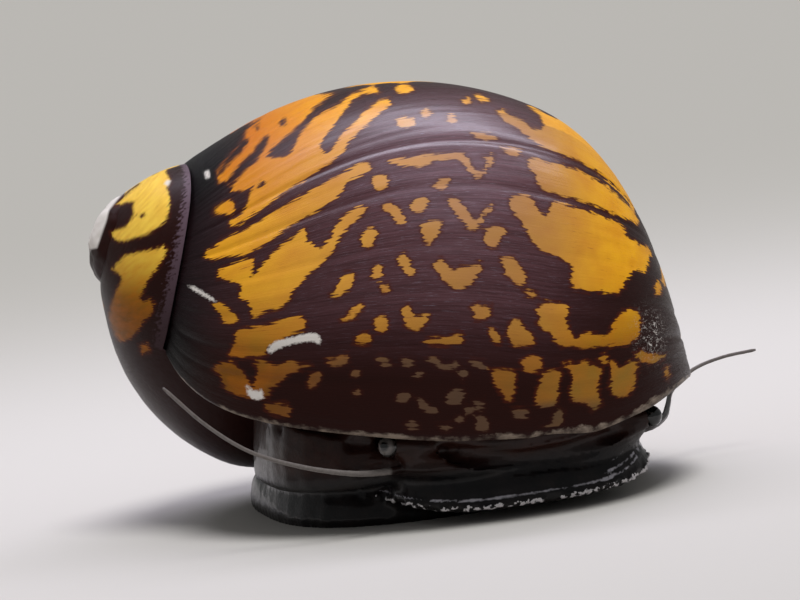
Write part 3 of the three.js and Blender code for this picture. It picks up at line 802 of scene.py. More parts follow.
def relief(along, growth):
    """Height of the growth lines and rests over the smooth shell, in millimetres."""
    age = growth_age(along, growth)
    height = -sum(depth * bell(age, rest, half) for rest, half, depth in GROWTH_RESTS)
    ripple = [
        noise.noise(Vector((a * 2.2, g * 0.55, 1.7))) + 0.5 * noise.noise(Vector((a * 3.0, g * 1.3, 5.2)))
        for a, g in zip(along, age)
    ]
    return (height + GROWTH_RIPPLE * np.array(ripple)) * smooth_step(np.degrees(along), 12, 42)


def back_pattern(along, growth, height):
    """Patches of the sides that the photograph doesn't show, of the same kind as those it shows."""
    age = growth_age(along, growth) * MM_PER_DEGREE
    place = along * MOUTH_RADIUS
    degrees = np.degrees(along)
    bands = np.maximum(*(bell(degrees, *band) for band in BACK_BANDS))
    broad = np.array([noise.noise(Vector((p * 0.2, a * 0.15, 3.1))) for p, a in zip(place, age)])
    fine = np.array([noise.noise(Vector((p * 0.75, a * 0.5, 7.7))) for p, a in zip(place, age)])
    low = 0.6 * (1 - smooth_step(height, 2.5, 6.0))
    return (1.15 * broad + 0.5 * fine + 0.42 * bands - 0.3 - low) * 1.5


def store(mesh, fields):
    """Writes numbers for each vertex, which a material reads by their name."""
    for name, values in fields.items():
        mesh.attributes.new(name, "FLOAT", "POINT").data.foreach_set("value", values.astype(np.float32))


def read_vertices(bm):
    """Layout places and normals of all vertices."""
    return layout([v.co[:] for v in bm.verts]), np.array([v.normal[:] for v in bm.verts])


def set_vertices(bm, points):
    for vertex, point in zip(bm.verts, points):
        vertex.co = point


def of_kind(made, kind):
    """The vertices or edges among the things that an operator made."""
    return [item for item in made if isinstance(item, kind)]


def mesh_of(bm, name):
    """The mesh of a finished construction."""
    mesh = bpy.data.meshes.new(name)
    bm.to_mesh(mesh)
    bm.free()
    return mesh


def placed(name, data):
    """A new object of the scene."""
    made = bpy.data.objects.new(name, data)
    bpy.context.scene.collection.objects.link(made)
    return made


def finish_piece(name, mesh, material, nodes):
    """Links a piece, gives it its finish and lets it stand for its solids."""
    piece = placed(name, mesh)
    mesh.materials.clear()
    mesh.materials.append(material)
    mesh.shade_smooth()
    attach(piece, "root")
    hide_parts(*nodes)


def add(tree, kind, inputs=None, out=0, **settings):
    """Adds a node with its settings and links and gives one output; an input is a value or a socket."""
    made = tree.nodes.new("ShaderNode" + kind)
    for key, value in settings.items():
        setattr(made, key, value)
    for key, value in (inputs or {}).items():
        if isinstance(value, bpy.types.NodeSocket):
            tree.links.new(value, made.inputs[key])
        else:
            made.inputs[key].default_value = value
    return made.outputs[out] if made.outputs else None


def empty_tree(owner):
    """Clears the nodes of a material or a world and gives the function that adds to them."""
    owner.use_nodes = True
    owner.node_tree.nodes.clear()
    return partial(add, owner.node_tree)


# Glazed shell: an aragonite wall under a thin, polished organic layer, laid down line by line at
# the lip. It looks wet and glossy, with fine growth lines and patches whose edges step at each line.
def shell_material(colours, fields):
    material = bpy.data.materials.new("Glazed nerite shell")
    node = empty_tree(material)
    uv = node("UVMap", uv_map="growth")
    read = {name: node("Attribute", out="Fac", attribute_name=name) for name in fields}
    grain = {}
    for name, (along, across, detail, roughness, distortion) in SHELL_GRAIN.items():
        place = node("Mapping", {"Vector": uv, "Scale": (along, across, 1)})
        grain[name] = node("TexNoise", {
            "Vector": place, "Scale": 1.0, "Detail": detail, "Roughness": roughness,
            "Distortion": distortion})

    # Ragged edges: a grain shifts the border of each field.
    edge = {}
    for name, source, amount, base in (
            ("tooth", "teeth", 0.5, -0.25),
            ("wander", "wobble", 0.14, -0.07),
            ("seam", "wobble", 4.5, read["seam"]),
            ("worn", "chalk", 0.3, read["worn"]),
            ("lip", "blotches", -0.75, read["lip"])):
        edge[name] = node("Math", {0: grain[source], 1: amount, 2: base}, operation="MULTIPLY_ADD")
    shift = node("Math", {0: edge["tooth"], 1: edge["wander"]})
    field = node("Math", {0: read["patch"], 1: shift})

    # Shares: a source, where it starts and ends, and the share at both.
    share = {}
    for name, *limits in (
            ("light", field, -0.025, 0.035, 0, 1),
            ("fringe", field, -0.16, 0.02, 0, 1),
            ("dull", grain["lines"], 0.3, 0.7, 0.25, 1),
            ("scuff", grain["scratches"], 0.58, 0.69, 0, 1),
            ("cap", read["cap"], 0.55, 0.95, 0, 0.6),
            ("cloud", grain["cloud"], 0.35, 0.7, 0, 0.35),
            ("dash", grain["dashes"], 0.6, 0.68, 0, 1),
            ("dash place", grain["cloud"], 0.44, 0.6, 0, 1),
            ("band", edge["seam"], 5, 4, 0, 0.9),
            ("chalk", edge["worn"], 0.1, 0.2, 0, 1),
            ("fleck", grain["flecks"], 0.55, 0.61, 0, 1),
            ("lip", edge["lip"], -0.16, -0.3, 0, 1),
            ("lip grain", grain["blotches"], 0.36, 0.62, 0, 1),
            ("roughness", grain["scratches"], 0.4, 0.7, 0.24, 0.42),
            ("sheen", read["bloom"], 0.3, 1, 0.1, 1),
            ("polish", read["shade"], 0, 1, 1, 0.04)):
        share[name] = node("MapRange", dict(enumerate(limits)))
    share["sheen_faded"] = read["bloom"]
    clear = node("Math", {0: 1.0, 1: read["dim"]}, operation="SUBTRACT")
    for name, factor in (
            ("dull", read["bloom"]),
            ("fringe", clear),
            ("scuff", read["bloom"]),
            ("scuff", 0.6),
            ("dash", share["dash place"]),
            ("sheen_faded", 0.45),
            ("band", read["cap"]),
            ("fleck", read["scratched"]),
            ("sheen", share["polish"]),
            ("sheen", 0.62)):
        share[name] = node("Math", {0: share[name], 1: factor}, operation="MULTIPLY")
    pale = node("Math", {0: share["chalk"], 1: share["fleck"]}, operation="MAXIMUM")

    # Dark ground: black in the seam, as painted shade; purple-grey where fine scratches run along the growth
    # lines of the crown, partly scratches and partly painted sheen; red-brown beside the patches; and grey
    # where it is scuffed, partly scratches and partly painted sheen.
    ground = colours.ground
    for amount, tint in (
            (read["recess"], linear("#080505")),
            (share["dull"], colours.bloom),
            (share["fringe"], colours.rust),
            (share["scuff"], linear("#9a93a3"))):
        ground = node("Mix", {0: amount, 6: ground, 7: tint}, 2, data_type="RGBA")

    # Light patches: umber and olive low down and amber above, partly their own colour and partly painted
    # light and shade; orange towards the spire and a painted highlight of pale yellow on the cap, with brown
    # clouds and growth dashes, duller in the middle and near the lip, and washed pink by painted sheen on
    # the scratched crown.
    patches = colours.umber
    for amount, tint in (
            (read["olive"], colours.olive),
            (read["tone"], colours.amber),
            (read["spireward"], colours.orange),
            # Painted highlight: pale yellow high on the cap.
            (share["cap"], linear("#f4dc62")),
            (share["cloud"], linear("#c46a10")),
            (share["dash"], linear("#7c330d")),
            (read["middle"], linear("#7d5328")),
            (read["dim"], linear("#4b3c33")),
            (share["sheen_faded"], linear("#a37a68"))):
        patches = node("Mix", {0: amount, 6: patches, 7: tint}, 2, data_type="RGBA")

    # Over both: the grey-brown worn band beside the seam, chalky places with a painted highlight along the
    # apex rim, and the pale growing edge.
    pits = linear("#2a1f1c")
    edge_tint = node("Mix", {0: share["lip grain"], 6: pits, 7: colours.lip}, 2, data_type="RGBA")
    colour = ground
    for amount, tint in (
            (share["light"], patches),
            (share["band"], linear("#62505a")),
            (pale, colours.worn),
            (share["lip"], edge_tint)):
        colour = node("Mix", {0: amount, 6: colour, 7: tint}, 2, data_type="RGBA")

    roughness = node("Mix", {0: pale, 2: share["roughness"], 3: 0.75})
    normal = node("Bump", {"Strength": 0.5, "Distance": 0.03 * MM, "Height": grain["lines"]})
    normal = node("Bump", {
        "Strength": 0.35, "Distance": 0.012 * MM, "Height": grain["scratches"], "Normal": normal})
    surface = node("BsdfPrincipled", {
        "Base Color": colour, "Roughness": roughness, "Normal": normal, "IOR": 1.45,
        "Specular IOR Level": 0.06, "Coat Weight": share["sheen"], "Coat Roughness": 0.24})
    node("OutputMaterial", {"Surface": surface})
    return material


def shell_fields(points, normals, along, growth, wall):
    """What the shell's material reads at each vertex: its pattern, its wear and where it lies."""
    across, height = points[:, 0], points[:, 2]
    to_eye = CAMERA_EYE - points
    seen = np.einsum("ij,ij->i", normals, to_eye) / np.linalg.norm(to_eye, axis=1)
    pixels = in_picture(points)
    age = growth_age(along, growth)
    degrees = np.degrees(along)
    turn = lip_turn(along) + np.radians(growth)
    axial, radial = mouth_line(along, turn)
    size = np.exp(GROWTH_RATE * turn)
    capped = growth < CAP_BEFORE

    # The photograph's outlines hold where the camera sees the shell, and fade out towards its edge.
    front = seen > 0
    share = smooth_step(seen, *PICTURED)[front]
    patch = back_pattern(along, growth, height)
    pictured = outline_field(pixels[front], LIGHT_PATCHES, DARK_SLASHES)
    patch[front] = patch[front] * (1 - share) + pictured * share
    # Worn places and the worn tip, with a painted highlight along the apex rim.
    worn = np.full(len(points), NOWHERE)
    worn[front] = outline_field(pixels[front], WEAR_AND_GLINT_PLACES)
    from_tip = np.linalg.norm(points - (SHELL_APEX + WORN_TIP_AT * AXIS), axis=1)
    near = from_tip < WORN_TIP_REACH
    ragged = np.array([noise.fractal(Vector(p) * 1.3, 0.8, 2.0, 4) for p in points[near].tolist()])
    worn[near] = np.maximum(worn[near], WORN_TIP - from_tip[near] + WORN_TIP_RAGGED * ragged)
    scratch_off = (pixels - np.array(SCRATCHED_PLACE)) / np.array(SCRATCHED_SPREAD)

    # The scratched crown and its painted sheen lie on the shoulder, where old scratches are, and leave the
    # last growth clean.
    spread = np.where(degrees < SHEEN_AT, *SHEEN_SPREAD)
    bloom = bell(degrees, SHEEN_AT, spread) * (SHEEN_LEAST + (1 - SHEEN_LEAST) * bell(age, *SHEEN_AGE))
    bloom *= smooth_step(age, *SHEEN_STARTS) * (1 - smooth_step(age, *SHEEN_ENDS))
    # Painted light: patches are lighter higher up and to the right, and darker on the cap.
    sunlit = height + SUNLIT_ACROSS * np.minimum(across, 2) - CAP_PAINTED_SHADE * capped
    to_spire = (1 - smooth_step(across, *ORANGE_ACROSS)) * smooth_step(height, *ORANGE_HEIGHT)
    dim_from = np.where(pixels[:, 0] < DIM_UP_TO, *DIM_FROM)
    seam_before = (radial - other_turn(axial, turn, -1)) / size
    seam_after = (radial - other_turn(axial, turn, 1)) / size
    # Painted shade: the younger turn goes black beside the seam, under the edge of the older one.
    recess = (1 - smooth_step(seam_before, *SEAM_SHADE_HEIGHT)) * (growth > SEAM_BEFORE)
    edge = np.where(wall < 0.012, LIP_FACE, 1.0)
    from_lip = np.where(wall > 0.005, edge, (LIP_END - growth) * MM_PER_DEGREE)
    shade = (1 - smooth_step(height, *SHADE_HEIGHT)) * (1 - smooth_step(across, *SHADE_ACROSS))
    return {
        "patch": np.where(wall > 0, -1, np.clip(patch, -3, 3)),
        "tone": smooth_step(sunlit, *AMBER_SUNLIT),
        "olive": smooth_step(across, *OLIVE_ACROSS) * (1 - smooth_step(height, *OLIVE_HEIGHT)),
        "spireward": to_spire * np.where(capped, *ORANGE_SHARES),
        "bloom": bloom,
        "middle": DULL_AMOUNT * bell(degrees, *DULL_PATCHES) * (age > DULL_PATCHES_SINCE),
        "dim": DIM_AMOUNT * bell(degrees, *DIM_PATCHES) * smooth_step(age - dim_from, 0, 3),
        "worn": np.clip(worn, -2, 2),
        "scratched": np.exp(-(scratch_off ** 2).sum(axis=1)) * front,
        "seam": np.clip(seam_after, -1, 6),
        "recess": recess,
        "cap": capped * (CAP_LEAST + (1 - CAP_LEAST) * smooth_step(height, *CAP_HEIGHT)),
        "lip": from_lip - LIP_BROADER * smooth_step(across, *BROAD_LIP_ACROSS),
        "shade": np.maximum(shade, recess),
    }


class NERITE_OT_shell(bpy.types.Operator):
    """Makes the shell as one sheet that winds from the apex to the lip and turns in at the mouth"""
    bl_idname = "nerite.shell"
    bl_label = "Shell"

    def execute(self, context):
        bm = bmesh.new()
        along_layer, growth_layer, wall_layer = (
            bm.verts.layers.float.new(name) for name in ("along", "growth", "wall"))
        bmesh.ops.create_grid(bm, x_segments=SHEET_COLUMNS, y_segments=SHEET_ROWS, size=1)
        flat = np.array([v.co[:] for v in bm.verts])
        rows, growths, walls = (np.array(column) for column in zip(*SHEET_STAGES))
        row = (flat[:, 1] + 1) / 2
        growth = np.interp(row, rows, growths)
        wall = np.interp(row, rows, walls)
        along = math.pi * (flat[:, 0] + 1) / 2
        along = np.minimum(along, seam_place(along, growth, row))
        rise = LIP_RISE * bell(np.degrees(along), LIP_RISE_AT, LIP_RISE_SPREAD)
        turn = lip_turn(along) + np.radians(growth - rise * smooth_step(growth, LIP_RISE_FROM, 0))
        out = relief(along, growth) * np.exp(GROWTH_RATE * turn) * (wall == 0)
        axial, radial = mouth_line(along, turn, wall, out)
        radial *= 1 - START_SINK * (1 - smooth_step(growth, *START_TURNS))
        points = on_shell(axial, radial, turn)
        # The crown keeps within the height of the solids.
        high = points[:, 2].max()
        excess = max(high - layout(SOLID_BOX[1])[2] + CROWN_CLEARANCE, 0)
        points[:, 2] -= excess * smooth_step(points[:, 2], high - CROWN_EASE, high)
        set_vertices(bm, metres(points).tolist())
        for vertex, a, g, w in zip(bm.verts, along, growth, wall):
            vertex[along_layer], vertex[growth_layer], vertex[wall_layer] = a, g, w

        # What lies well inside a neighbouring turn or the worn apex is left out.
        buried = other_turn(axial, turn, -1) - radial > HIDDEN_DEPTH
        from_dome = points - DOME_CENTRE
        dome_along = from_dome @ AXIS
        dome_across = np.linalg.norm(from_dome - dome_along[:, None] * AXIS, axis=1)
        dome_depth = np.hypot(dome_along / APEX_DOME_ALONG, dome_across / APEX_DOME_ACROSS)
        tip = (dome_along < TIP_CUT - APEX_DOME_AT) | (dome_across < TIP_CORE) & (dome_along < 0)
        hidden = buried & (wall == 0) | (dome_depth < DOME_MARGIN) | tip & (points[:, 0] < TIP_LEFT_OF)
        bm.verts.ensure_lookup_table()
        gone = [v for v, hide in zip(bm.verts, hidden) if hide]
        bmesh.ops.delete(bm, geom=gone, context="VERTS")
        bmesh.ops.remove_doubles(bm, verts=bm.verts[:], dist=MERGED)
        stretched = [
            f for f in bm.faces
            if max(v[along_layer] for v in f.verts) - min(v[along_layer] for v in f.verts) > STRETCHED]
        bmesh.ops.delete(bm, geom=stretched, context="FACES")

        # The edge of the older turn stands a little proud of the younger one and turns down to it.
        near, far = SEAM_ALONG
        older = {v for v in bm.verts if v[growth_layer] < SEAM_BEFORE and near < v[along_layer] < far}
        seam = [e for e in bm.edges if e.is_boundary and older.issuperset(e.verts)]
        down_to = bmesh.ops.extrude_edge_only(bm, edges=seam)["geom"]
        axis = Vector(AXIS)
        for vertex in of_kind(down_to, bmesh.types.BMVert):
            from_apex = vertex.co - metre_vector(SHELL_APEX)
            vertex.co -= (from_apex - axis * from_apex.dot(axis)).normalized() * SEAM_WALL * MM

        # The plane of the mouth cuts the whorl, and a narrow flange turns in from the cut.
        everything = bm.verts[:] + bm.edges[:] + bm.faces[:]
        down = Vector(RIM_SLOPE + (-1,)).normalized()
        cut = bmesh.ops.bisect_plane(
            bm, geom=everything, plane_co=metre_vector(RIM_POINT), plane_no=down, clear_outer=True)
        rim = [e for e in of_kind(cut["geom_cut"], bmesh.types.BMEdge) if e.is_boundary]
        flange = bmesh.ops.extrude_edge_only(bm, edges=rim)["geom"]
        middle = metre_vector(MOUTH_INSIDE)
        for vertex in of_kind(flange, bmesh.types.BMVert):
            inwards = middle - vertex.co
            inwards -= down * inwards.dot(down)
            vertex.co += inwards.normalized() * RIM_FLANGE * MM
        outward = sum((f.normal.dot(f.calc_center_median() - middle) for f in bm.faces[:2000]), 0.0)
        if outward < 0:
            bmesh.ops.reverse_faces(bm, faces=bm.faces[:])

        # The worn apex: a low, rough dome on the axis.
        dome = bmesh.ops.create_uvsphere(bm, u_segments=96, v_segments=48, radius=1)["verts"]
        squash = Matrix.Diagonal((APEX_DOME_ACROSS * MM, APEX_DOME_ACROSS * MM, APEX_DOME_ALONG * MM, 1))
        turned = Vector((0, 0, 1)).rotation_difference(axis).to_matrix().to_4x4()
        place = Matrix.Translation(metre_vector(DOME_CENTRE))
        bmesh.ops.transform(bm, matrix=place @ turned @ squash, verts=dome)
        for vertex in dome:
            rough = noise.fractal(vertex.co / MM * 1.1, 0.9, 2.1, 4) * DOME_ROUGHNESS
            vertex.co += (vertex.co - place.translation).normalized() * rough * MM
            vertex[along_layer], vertex[growth_layer] = DOME_ALONG_MOUTH, DOME_GROWTH

        bm.normal_update()
        points, normals = read_vertices(bm)
        along, growth, wall = (
            np.array([v[layer] for v in bm.verts]) for layer in (along_layer, growth_layer, wall_layer))
        uv_layer = bm.loops.layers.uv.new("growth")
        flat = np.stack([along * MOUTH_RADIUS, growth_age(along, growth) * MM_PER_DEGREE], axis=1)
        bm.verts.index_update()
        for face in bm.faces:
            for loop in face.loops:
                loop[uv_layer].uv = flat[loop.vert.index]
        mesh = mesh_of(bm, "shell_glazed")
        fields = shell_fields(points, normals, along, growth, wall)
        store(mesh, fields)
        finish_piece(
            "shell_glazed", mesh, shell_material(context.scene.nerite_colours, fields),
            ("shell_body_whorl", "shell_spire"))
        return {"FINISHED"}


def smooth_curve(nodes, steps):
    """More points along a smooth curve through the given ones."""
    nodes = [Vector(node) for node in nodes]
    ends = [2 * nodes[0] - nodes[1]] + nodes + [2 * nodes[-1] - nodes[-2]]
    points = []
    for before, start, end, after in zip(ends, ends[1:], ends[2:], ends[3:]):
        for i in range(steps):
            t = i / steps
            bend = (2 * start + (end - before) * t + (2 * before - 5 * start + 4 * end - after) * t * t
                    + (3 * start - before - 3 * end + after) * t ** 3)
            points.append(bend / 2)
    return points + [nodes[-1]]


def slab_mesh(name, profile, centre, half, square, steps, lift=0.0):
    """A rounded slab along the heading: a profile spun round and bent to a rounded rectangle."""
    bm = bmesh.new()
    line = [bm.verts.new((max(p.x, 0), 0, p.z)) for p in smooth_curve([(r, 0, z) for r, z in profile], 3)]
    edges = [bm.edges.new(pair) for pair in zip(line, line[1:])]
    bmesh.ops.spin(
        bm, geom=line + edges, cent=(0, 0, 0), axis=(0, 0, 1), angle=2 * math.pi, steps=steps,
        use_merge=True)
    bmesh.ops.remove_doubles(bm, verts=bm.verts[:], dist=1e-5)
    for vertex in bm.verts:
        x, y, z = vertex.co
        c, s = math.cos(math.atan2(y, x)), math.sin(math.atan2(y, x))
        reach = math.hypot(x, y) * (abs(c) ** square + abs(s) ** square) ** (-1 / square)
        side, front = reach * c * half[0], reach * s * half[1]
        rise = lift * (side / half[0]) ** LIFT_POWER * max(0, 1 - z / LIFT_FADE)
        vertex.co = metres(centre + side * ASIDE + front * AHEAD + np.array([0, 0, z + rise]))
    bmesh.ops.recalc_face_normals(bm, faces=bm.faces[:])
    return mesh_of(bm, name)


def joined(name, meshes):
    """One mesh of several closed ones."""
    bm = bmesh.new()
    for mesh in meshes:
        bm.from_mesh(mesh)
        bpy.data.meshes.remove(mesh)
    return mesh_of(bm, name)


def grown_solid(node, grow, cut=None):
    """A copy of a solid, merged and grown a little, with what lies above a height cut off and closed."""
    bm = bmesh.new()
    bm.from_mesh(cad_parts[node].data)
    bmesh.ops.remove_doubles(bm, verts=bm.verts[:], dist=MERGED)
    if cut is not None:
        everything = bm.verts[:] + bm.edges[:] + bm.faces[:]
        made = bmesh.ops.bisect_plane(
            bm, geom=everything, plane_co=(0, 0, cut * MM), plane_no=(0, 0, 1), clear_outer=True)
        bmesh.ops.edgenet_fill(bm, edges=of_kind(made["geom_cut"], bmesh.types.BMEdge))
    bm.normal_update()
    set_vertices(bm, [v.co + v.normal * grow for v in bm.verts])
    return mesh_of(bm, node + "_grown")


def applied(mesh, kind, **settings):
    """The mesh that one modifier makes of a mesh."""
    holder = placed("holder", mesh)
    modifier = holder.modifiers.new("step", kind)
    for key, value in settings.items():
        setattr(modifier, key, value)
    graph = bpy.context.evaluated_depsgraph_get()
    result = bpy.data.meshes.new_from_object(holder.evaluated_get(graph))
    bpy.data.objects.remove(holder)
    bpy.data.meshes.remove(mesh)
    return result


def tube_mesh(name, points, radii, bend=1.0):
    """A closed round bar along a smooth curve through some points, thinner towards its end."""
    centres = smooth_curve(points, 8)
    last = len(centres) - 1
    bm = bmesh.new()
    rings = [bmesh.ops.create_circle(bm, cap_ends=False, segments=TUBE_SIDES, radius=1)["verts"]]
    edges = bm.edges[:]
    circle = [v.co.copy() for v in rings[0]]
    for _ in range(last):
        made = bmesh.ops.extrude_edge_only(bm, edges=edges)["geom"]
        edges = [e for e in of_kind(made, bmesh.types.BMEdge) if len(e.link_faces) == 1]
        order = {
            vertex: min(range(len(circle)), key=lambda k: (vertex.co - circle[k]).length)
            for vertex in of_kind(made, bmesh.types.BMVert)}
        rings.append(sorted(order, key=order.get))
    for i, (centre, loop) in enumerate(zip(centres, rings)):
        ahead = centres[min(i + 1, last)] - centres[max(i - 1, 0)]
        turn = ahead.to_track_quat("Z", "Y")
        radius = radii[1] + (radii[0] - radii[1]) * (1 - i / last) ** bend
        radius *= 1 + TUBE_UNEVEN * math.sin(i * 2.4)
        if i == last:
            radius *= TUBE_END
        for vertex, spot in zip(loop, circle):
            vertex.co = metre_vector(centre) + turn @ (spot * radius)
    for loop in (rings[0], rings[-1]):
        bm.faces.new(loop)
    bmesh.ops.recalc_face_normals(bm, faces=bm.faces[:])
    return mesh_of(bm, name)


def eye_place(side):
    across, forward, height = EYES[side]
    return HEAD_CENTRE + across * ASIDE + forward * AHEAD + np.array([0, 0, height])


def skin_relief(points, papilla):
    """How far the skin stands out at each point: folds of the snout and head, bumps and wrinkles."""
    from_snout = points - SNOUT_CENTRE
    side = from_snout @ ASIDE / SNOUT_HALF[0]
    forward = from_snout @ AHEAD / SNOUT_HALF[1]
    level = points[:, 2] - SNOUT_LIFT * side ** LIFT_POWER * np.clip(1 - points[:, 2] / LIFT_FADE, 0, 1)
    reach = (np.abs(side) ** SNOUT_SQUARE + np.abs(forward) ** SNOUT_SQUARE) ** (1 / SNOUT_SQUARE)
    head = smooth_step(forward, -0.55, -0.1) * (reach < 1.25)
    rim_at = RIM_GLINT[0] + RIM_GLINT[1] * np.clip((side - 0.84) / 0.16, 0, 1) ** 2
    rim = head * (reach > 0.86) * bell(level, rim_at, 0.2)
    # Folds run round the snout, two on its right, with a short slanting one above.
    ridge_at = RIDGE_GLINT[0] + RIDGE_GLINT[1] * np.clip((side - 0.45) / 0.5, 0, 1) ** 2
    right = smooth_step(side, 0.35, 0.6)
    ridge = (0.8 + 0.2 * right) * bell(level, ridge_at, 0.11)
    ridge = np.maximum(ridge, right * bell(level, ridge_at + 0.26, 0.1))
    fold = bell(level, 1.62 + 2.2 * (side - 0.64), 0.11) * bell(side, 0.64, 0.1)
    ridge = head * np.maximum(ridge, 0.8 * fold)
    places = points.tolist()
    bumps = np.array([max(0, noise.noise(Vector(p) * 4.2) + 0.12) for p in places])
    height = rim * bumps * papilla / MM * 2.4 + RIDGE_HEIGHT * ridge
    for at, depth in HEAD_FOLDS:
        height -= head * depth * bell(level + 0.1 * np.sin(side * 5 + at * 3), at, 0.09)
    wrinkle = np.array([
        noise.fractal(Vector((x * 1.6, y * 1.6, z * 2.6)), 1.0, 2.0, 4) for x, y, z in places])
    height += WRINKLE_HEIGHT * wrinkle * (1 - 0.3 * head)
    swell = np.array([noise.noise(Vector((x * 2.2, y * 2.2, z * 1.1))) for x, y, z in places])
    height += FLANK_HEIGHT * swell * smooth_step(points[:, 2], 0.15, 0.5) * (1 - head)
    return height, side, rim, bumps, ridge


# Wet snail skin: soft, dark and slimy, so it has a sharp wet shine over fine grain. Its rims carry pale
# specks of painted glint and its folds broken lines of painted shine; the mantle is browner, and the feelers
# are grey.
def skin_material(colours, fields):
    material = bpy.data.materials.new("Wet snail skin")
    node = empty_tree(material)
    place = node("TexCoord", out="Object")
    read = {name: node("Attribute", out="Fac", attribute_name=name) for name in fields}
    grain = {}
    for name, (cells, detail) in SKIN_GRAIN.items():
        grain[name] = node(
            "TexNoise", {"Vector": place, "Scale": cells / MM, "Detail": detail, "Roughness": 0.6})
    speck = node("Math", {0: grain["flecks"], 1: read["speck"]}, operation="MULTIPLY")
    ridge = node("Math", {0: grain["breaks"], 1: read["ridge"]}, operation="MULTIPLY")
    share = {}
    for name, *limits in (
            ("blotches", grain["blotches"], 0.4, 0.7, 0, 0.8),
            ("speck", speck, 0.5, 0.57, 0, 1),
            ("ridge", ridge, 0.3, 0.44, 0, 0.85),
            ("roughness", grain["grain"], 0, 1, 0.22, 0.5)):
        share[name] = node("MapRange", dict(enumerate(limits)))

    # Dark, brown and grey skin, each of two tones, then the mantle, the feelers, the painted shine of the
    # folds and the pale specks of painted glint on the rim over the dark one.
    skins = []
    for amount, low, high in (
            (share["blotches"], colours.skin, linear("#1e1817")),
            (share["blotches"], colours.mantle, linear("#170e0c")),
            (grain["grain"], linear("#55504d"), colours.feeler)):
        skins.append(node("Mix", {0: amount, 6: low, 7: high}, 2, data_type="RGBA"))
    colour = skins[0]
    for amount, tint in (
            (read["mantle"], skins[1]),
            (read["feeler"], skins[2]),
            # Painted shine along the folds, and painted glints on the rim.
            (share["ridge"], linear("#a8a6ae")),
            (share["speck"], linear("#cfcbcd"))):
        colour = node("Mix", {0: amount, 6: colour, 7: tint}, 2, data_type="RGBA")
    normal = node("Bump", {"Strength": 0.5, "Distance": 0.03 * MM, "Height": grain["grain"]})
    surface = node("BsdfPrincipled", {
        "Base Color": colour, "Roughness": share["roughness"], "Normal": normal, "IOR": 1.4,
        "Specular IOR Level": 0.15, "Coat Weight": 0.2, "Coat Roughness": 0.08})
    node("OutputMaterial", {"Surface": surface})
    return material


class NERITE_OT_flesh(bpy.types.Operator):
    """Makes the skin of foot, neck, head, snout, mantle, eye stalks and feelers in one piece"""
    bl_idname = "nerite.flesh"
    bl_label = "Flesh"

    def execute(self, context):
        sizes = context.scene.nerite_sizes
        forms = [grown_solid(node, sizes.skin_close) for node in ("neck", "foot", "head")]
        forms += [
            grown_solid("mantle", sizes.skin_close, MANTLE_CUT),
            slab_mesh("snout", SNOUT_PROFILE, SNOUT_CENTRE, SNOUT_HALF, SNOUT_SQUARE, 300, SNOUT_LIFT),
            slab_mesh("brow", BROW_PROFILE, BROW_CENTRE, BROW_HALF, BROW_SQUARE, 120, BROW_LIFT),
        ]
        for side in EYES:
            end = eye_place(side)
            root = end - ASIDE * np.sign(EYES[side][0]) * STALK_REACH - np.array([0, 0, STALK_DROP])
            radii = [radius * MM for radius in STALK_RADII]
            forms.append(tube_mesh("stalk", (root, (root + end) / 2, end), radii))
        forms.append(tube_mesh("fold", NECK_FOLD, (NECK_FOLD_RADIUS * MM,) * 2))
        mesh = applied(joined("forms", forms), "REMESH", mode="VOXEL", voxel_size=sizes.skin_voxel)
        bm = bmesh.new()
        bm.from_mesh(mesh)
        for _ in range(sizes.skin_smoothing):
            bmesh.ops.smooth_vert(
                bm, verts=bm.verts[:], factor=0.5, use_axis_x=True, use_axis_y=True, use_axis_z=True)
        bm.normal_update()
        points, normals = read_vertices(bm)
        height = skin_relief(points, sizes.papilla)[0] - SKIN_DRAWN_IN
        moved = points + normals * height[:, None]
        moved[:, 2] = np.where(points[:, 2] < SOLE_FLAT, 0.0, np.maximum(moved[:, 2], 0.0))
        set_vertices(bm, metres(moved).tolist())
        bm.to_mesh(mesh)
        bm.free()
        for path in FEELERS.values():
            feeler = placed("feeler", tube_mesh("feeler", path, (sizes.feeler_root, sizes.feeler_tip), 2.2))
            mesh = applied(mesh, "BOOLEAN", operation="UNION", solver="EXACT", object=feeler)
            bpy.data.objects.remove(feeler)
        mesh.name = "skin_of_body"
        flat = np.zeros(len(mesh.vertices) * 3)
        mesh.vertices.foreach_get("co", flat)
        points = layout(flat.reshape(-1, 3))
        side, rim, bumps, ridge = skin_relief(points, sizes.papilla)[1:]
        feeler = np.zeros(len(points))
        for name, path in FEELERS.items():
            feeler = np.maximum(feeler, near_path(points, path[FEELER_DARK[name]:]))
        # Painted glints: pale specks on the rim, more on bumps and to the left.
        always, on_bumps, to_left = GLINT_SHARES
        rim_share = always + on_bumps * smooth_step(bumps, 0.0, 0.3) + to_left * smooth_step(side, 0.25, 0.8)
        fields = {
            "mantle": smooth_step(points[:, 2], *MANTLE_HEIGHT) * (1 - feeler),
            "feeler": feeler,
            "speck": np.clip(rim * rim_share, 0, 1.2),
            "ridge": ridge,
        }
        store(mesh, fields)
        finish_piece(
            "skin_of_body", mesh, skin_material(context.scene.nerite_colours, fields),
            ("mantle", "neck", "foot", "head", "snout", "eye_stalk_right", "eye_stalk_left",
             "tentacle_right_base", "tentacle_right_mid", "tentacle_right_tip",
             "tentacle_left_base", "tentacle_left_mid", "tentacle_left_tip"))
        return {"FINISHED"}


def near_path(points, path):
    """One on a feeler's own surface, nothing away from it."""
    corners = np.array(path)
    nearest = np.min([line_distance(points, a, b) for a, b in zip(corners, corners[1:])], axis=0)
    return 1 - smooth_step(nearest, *FEELER_SKIN)


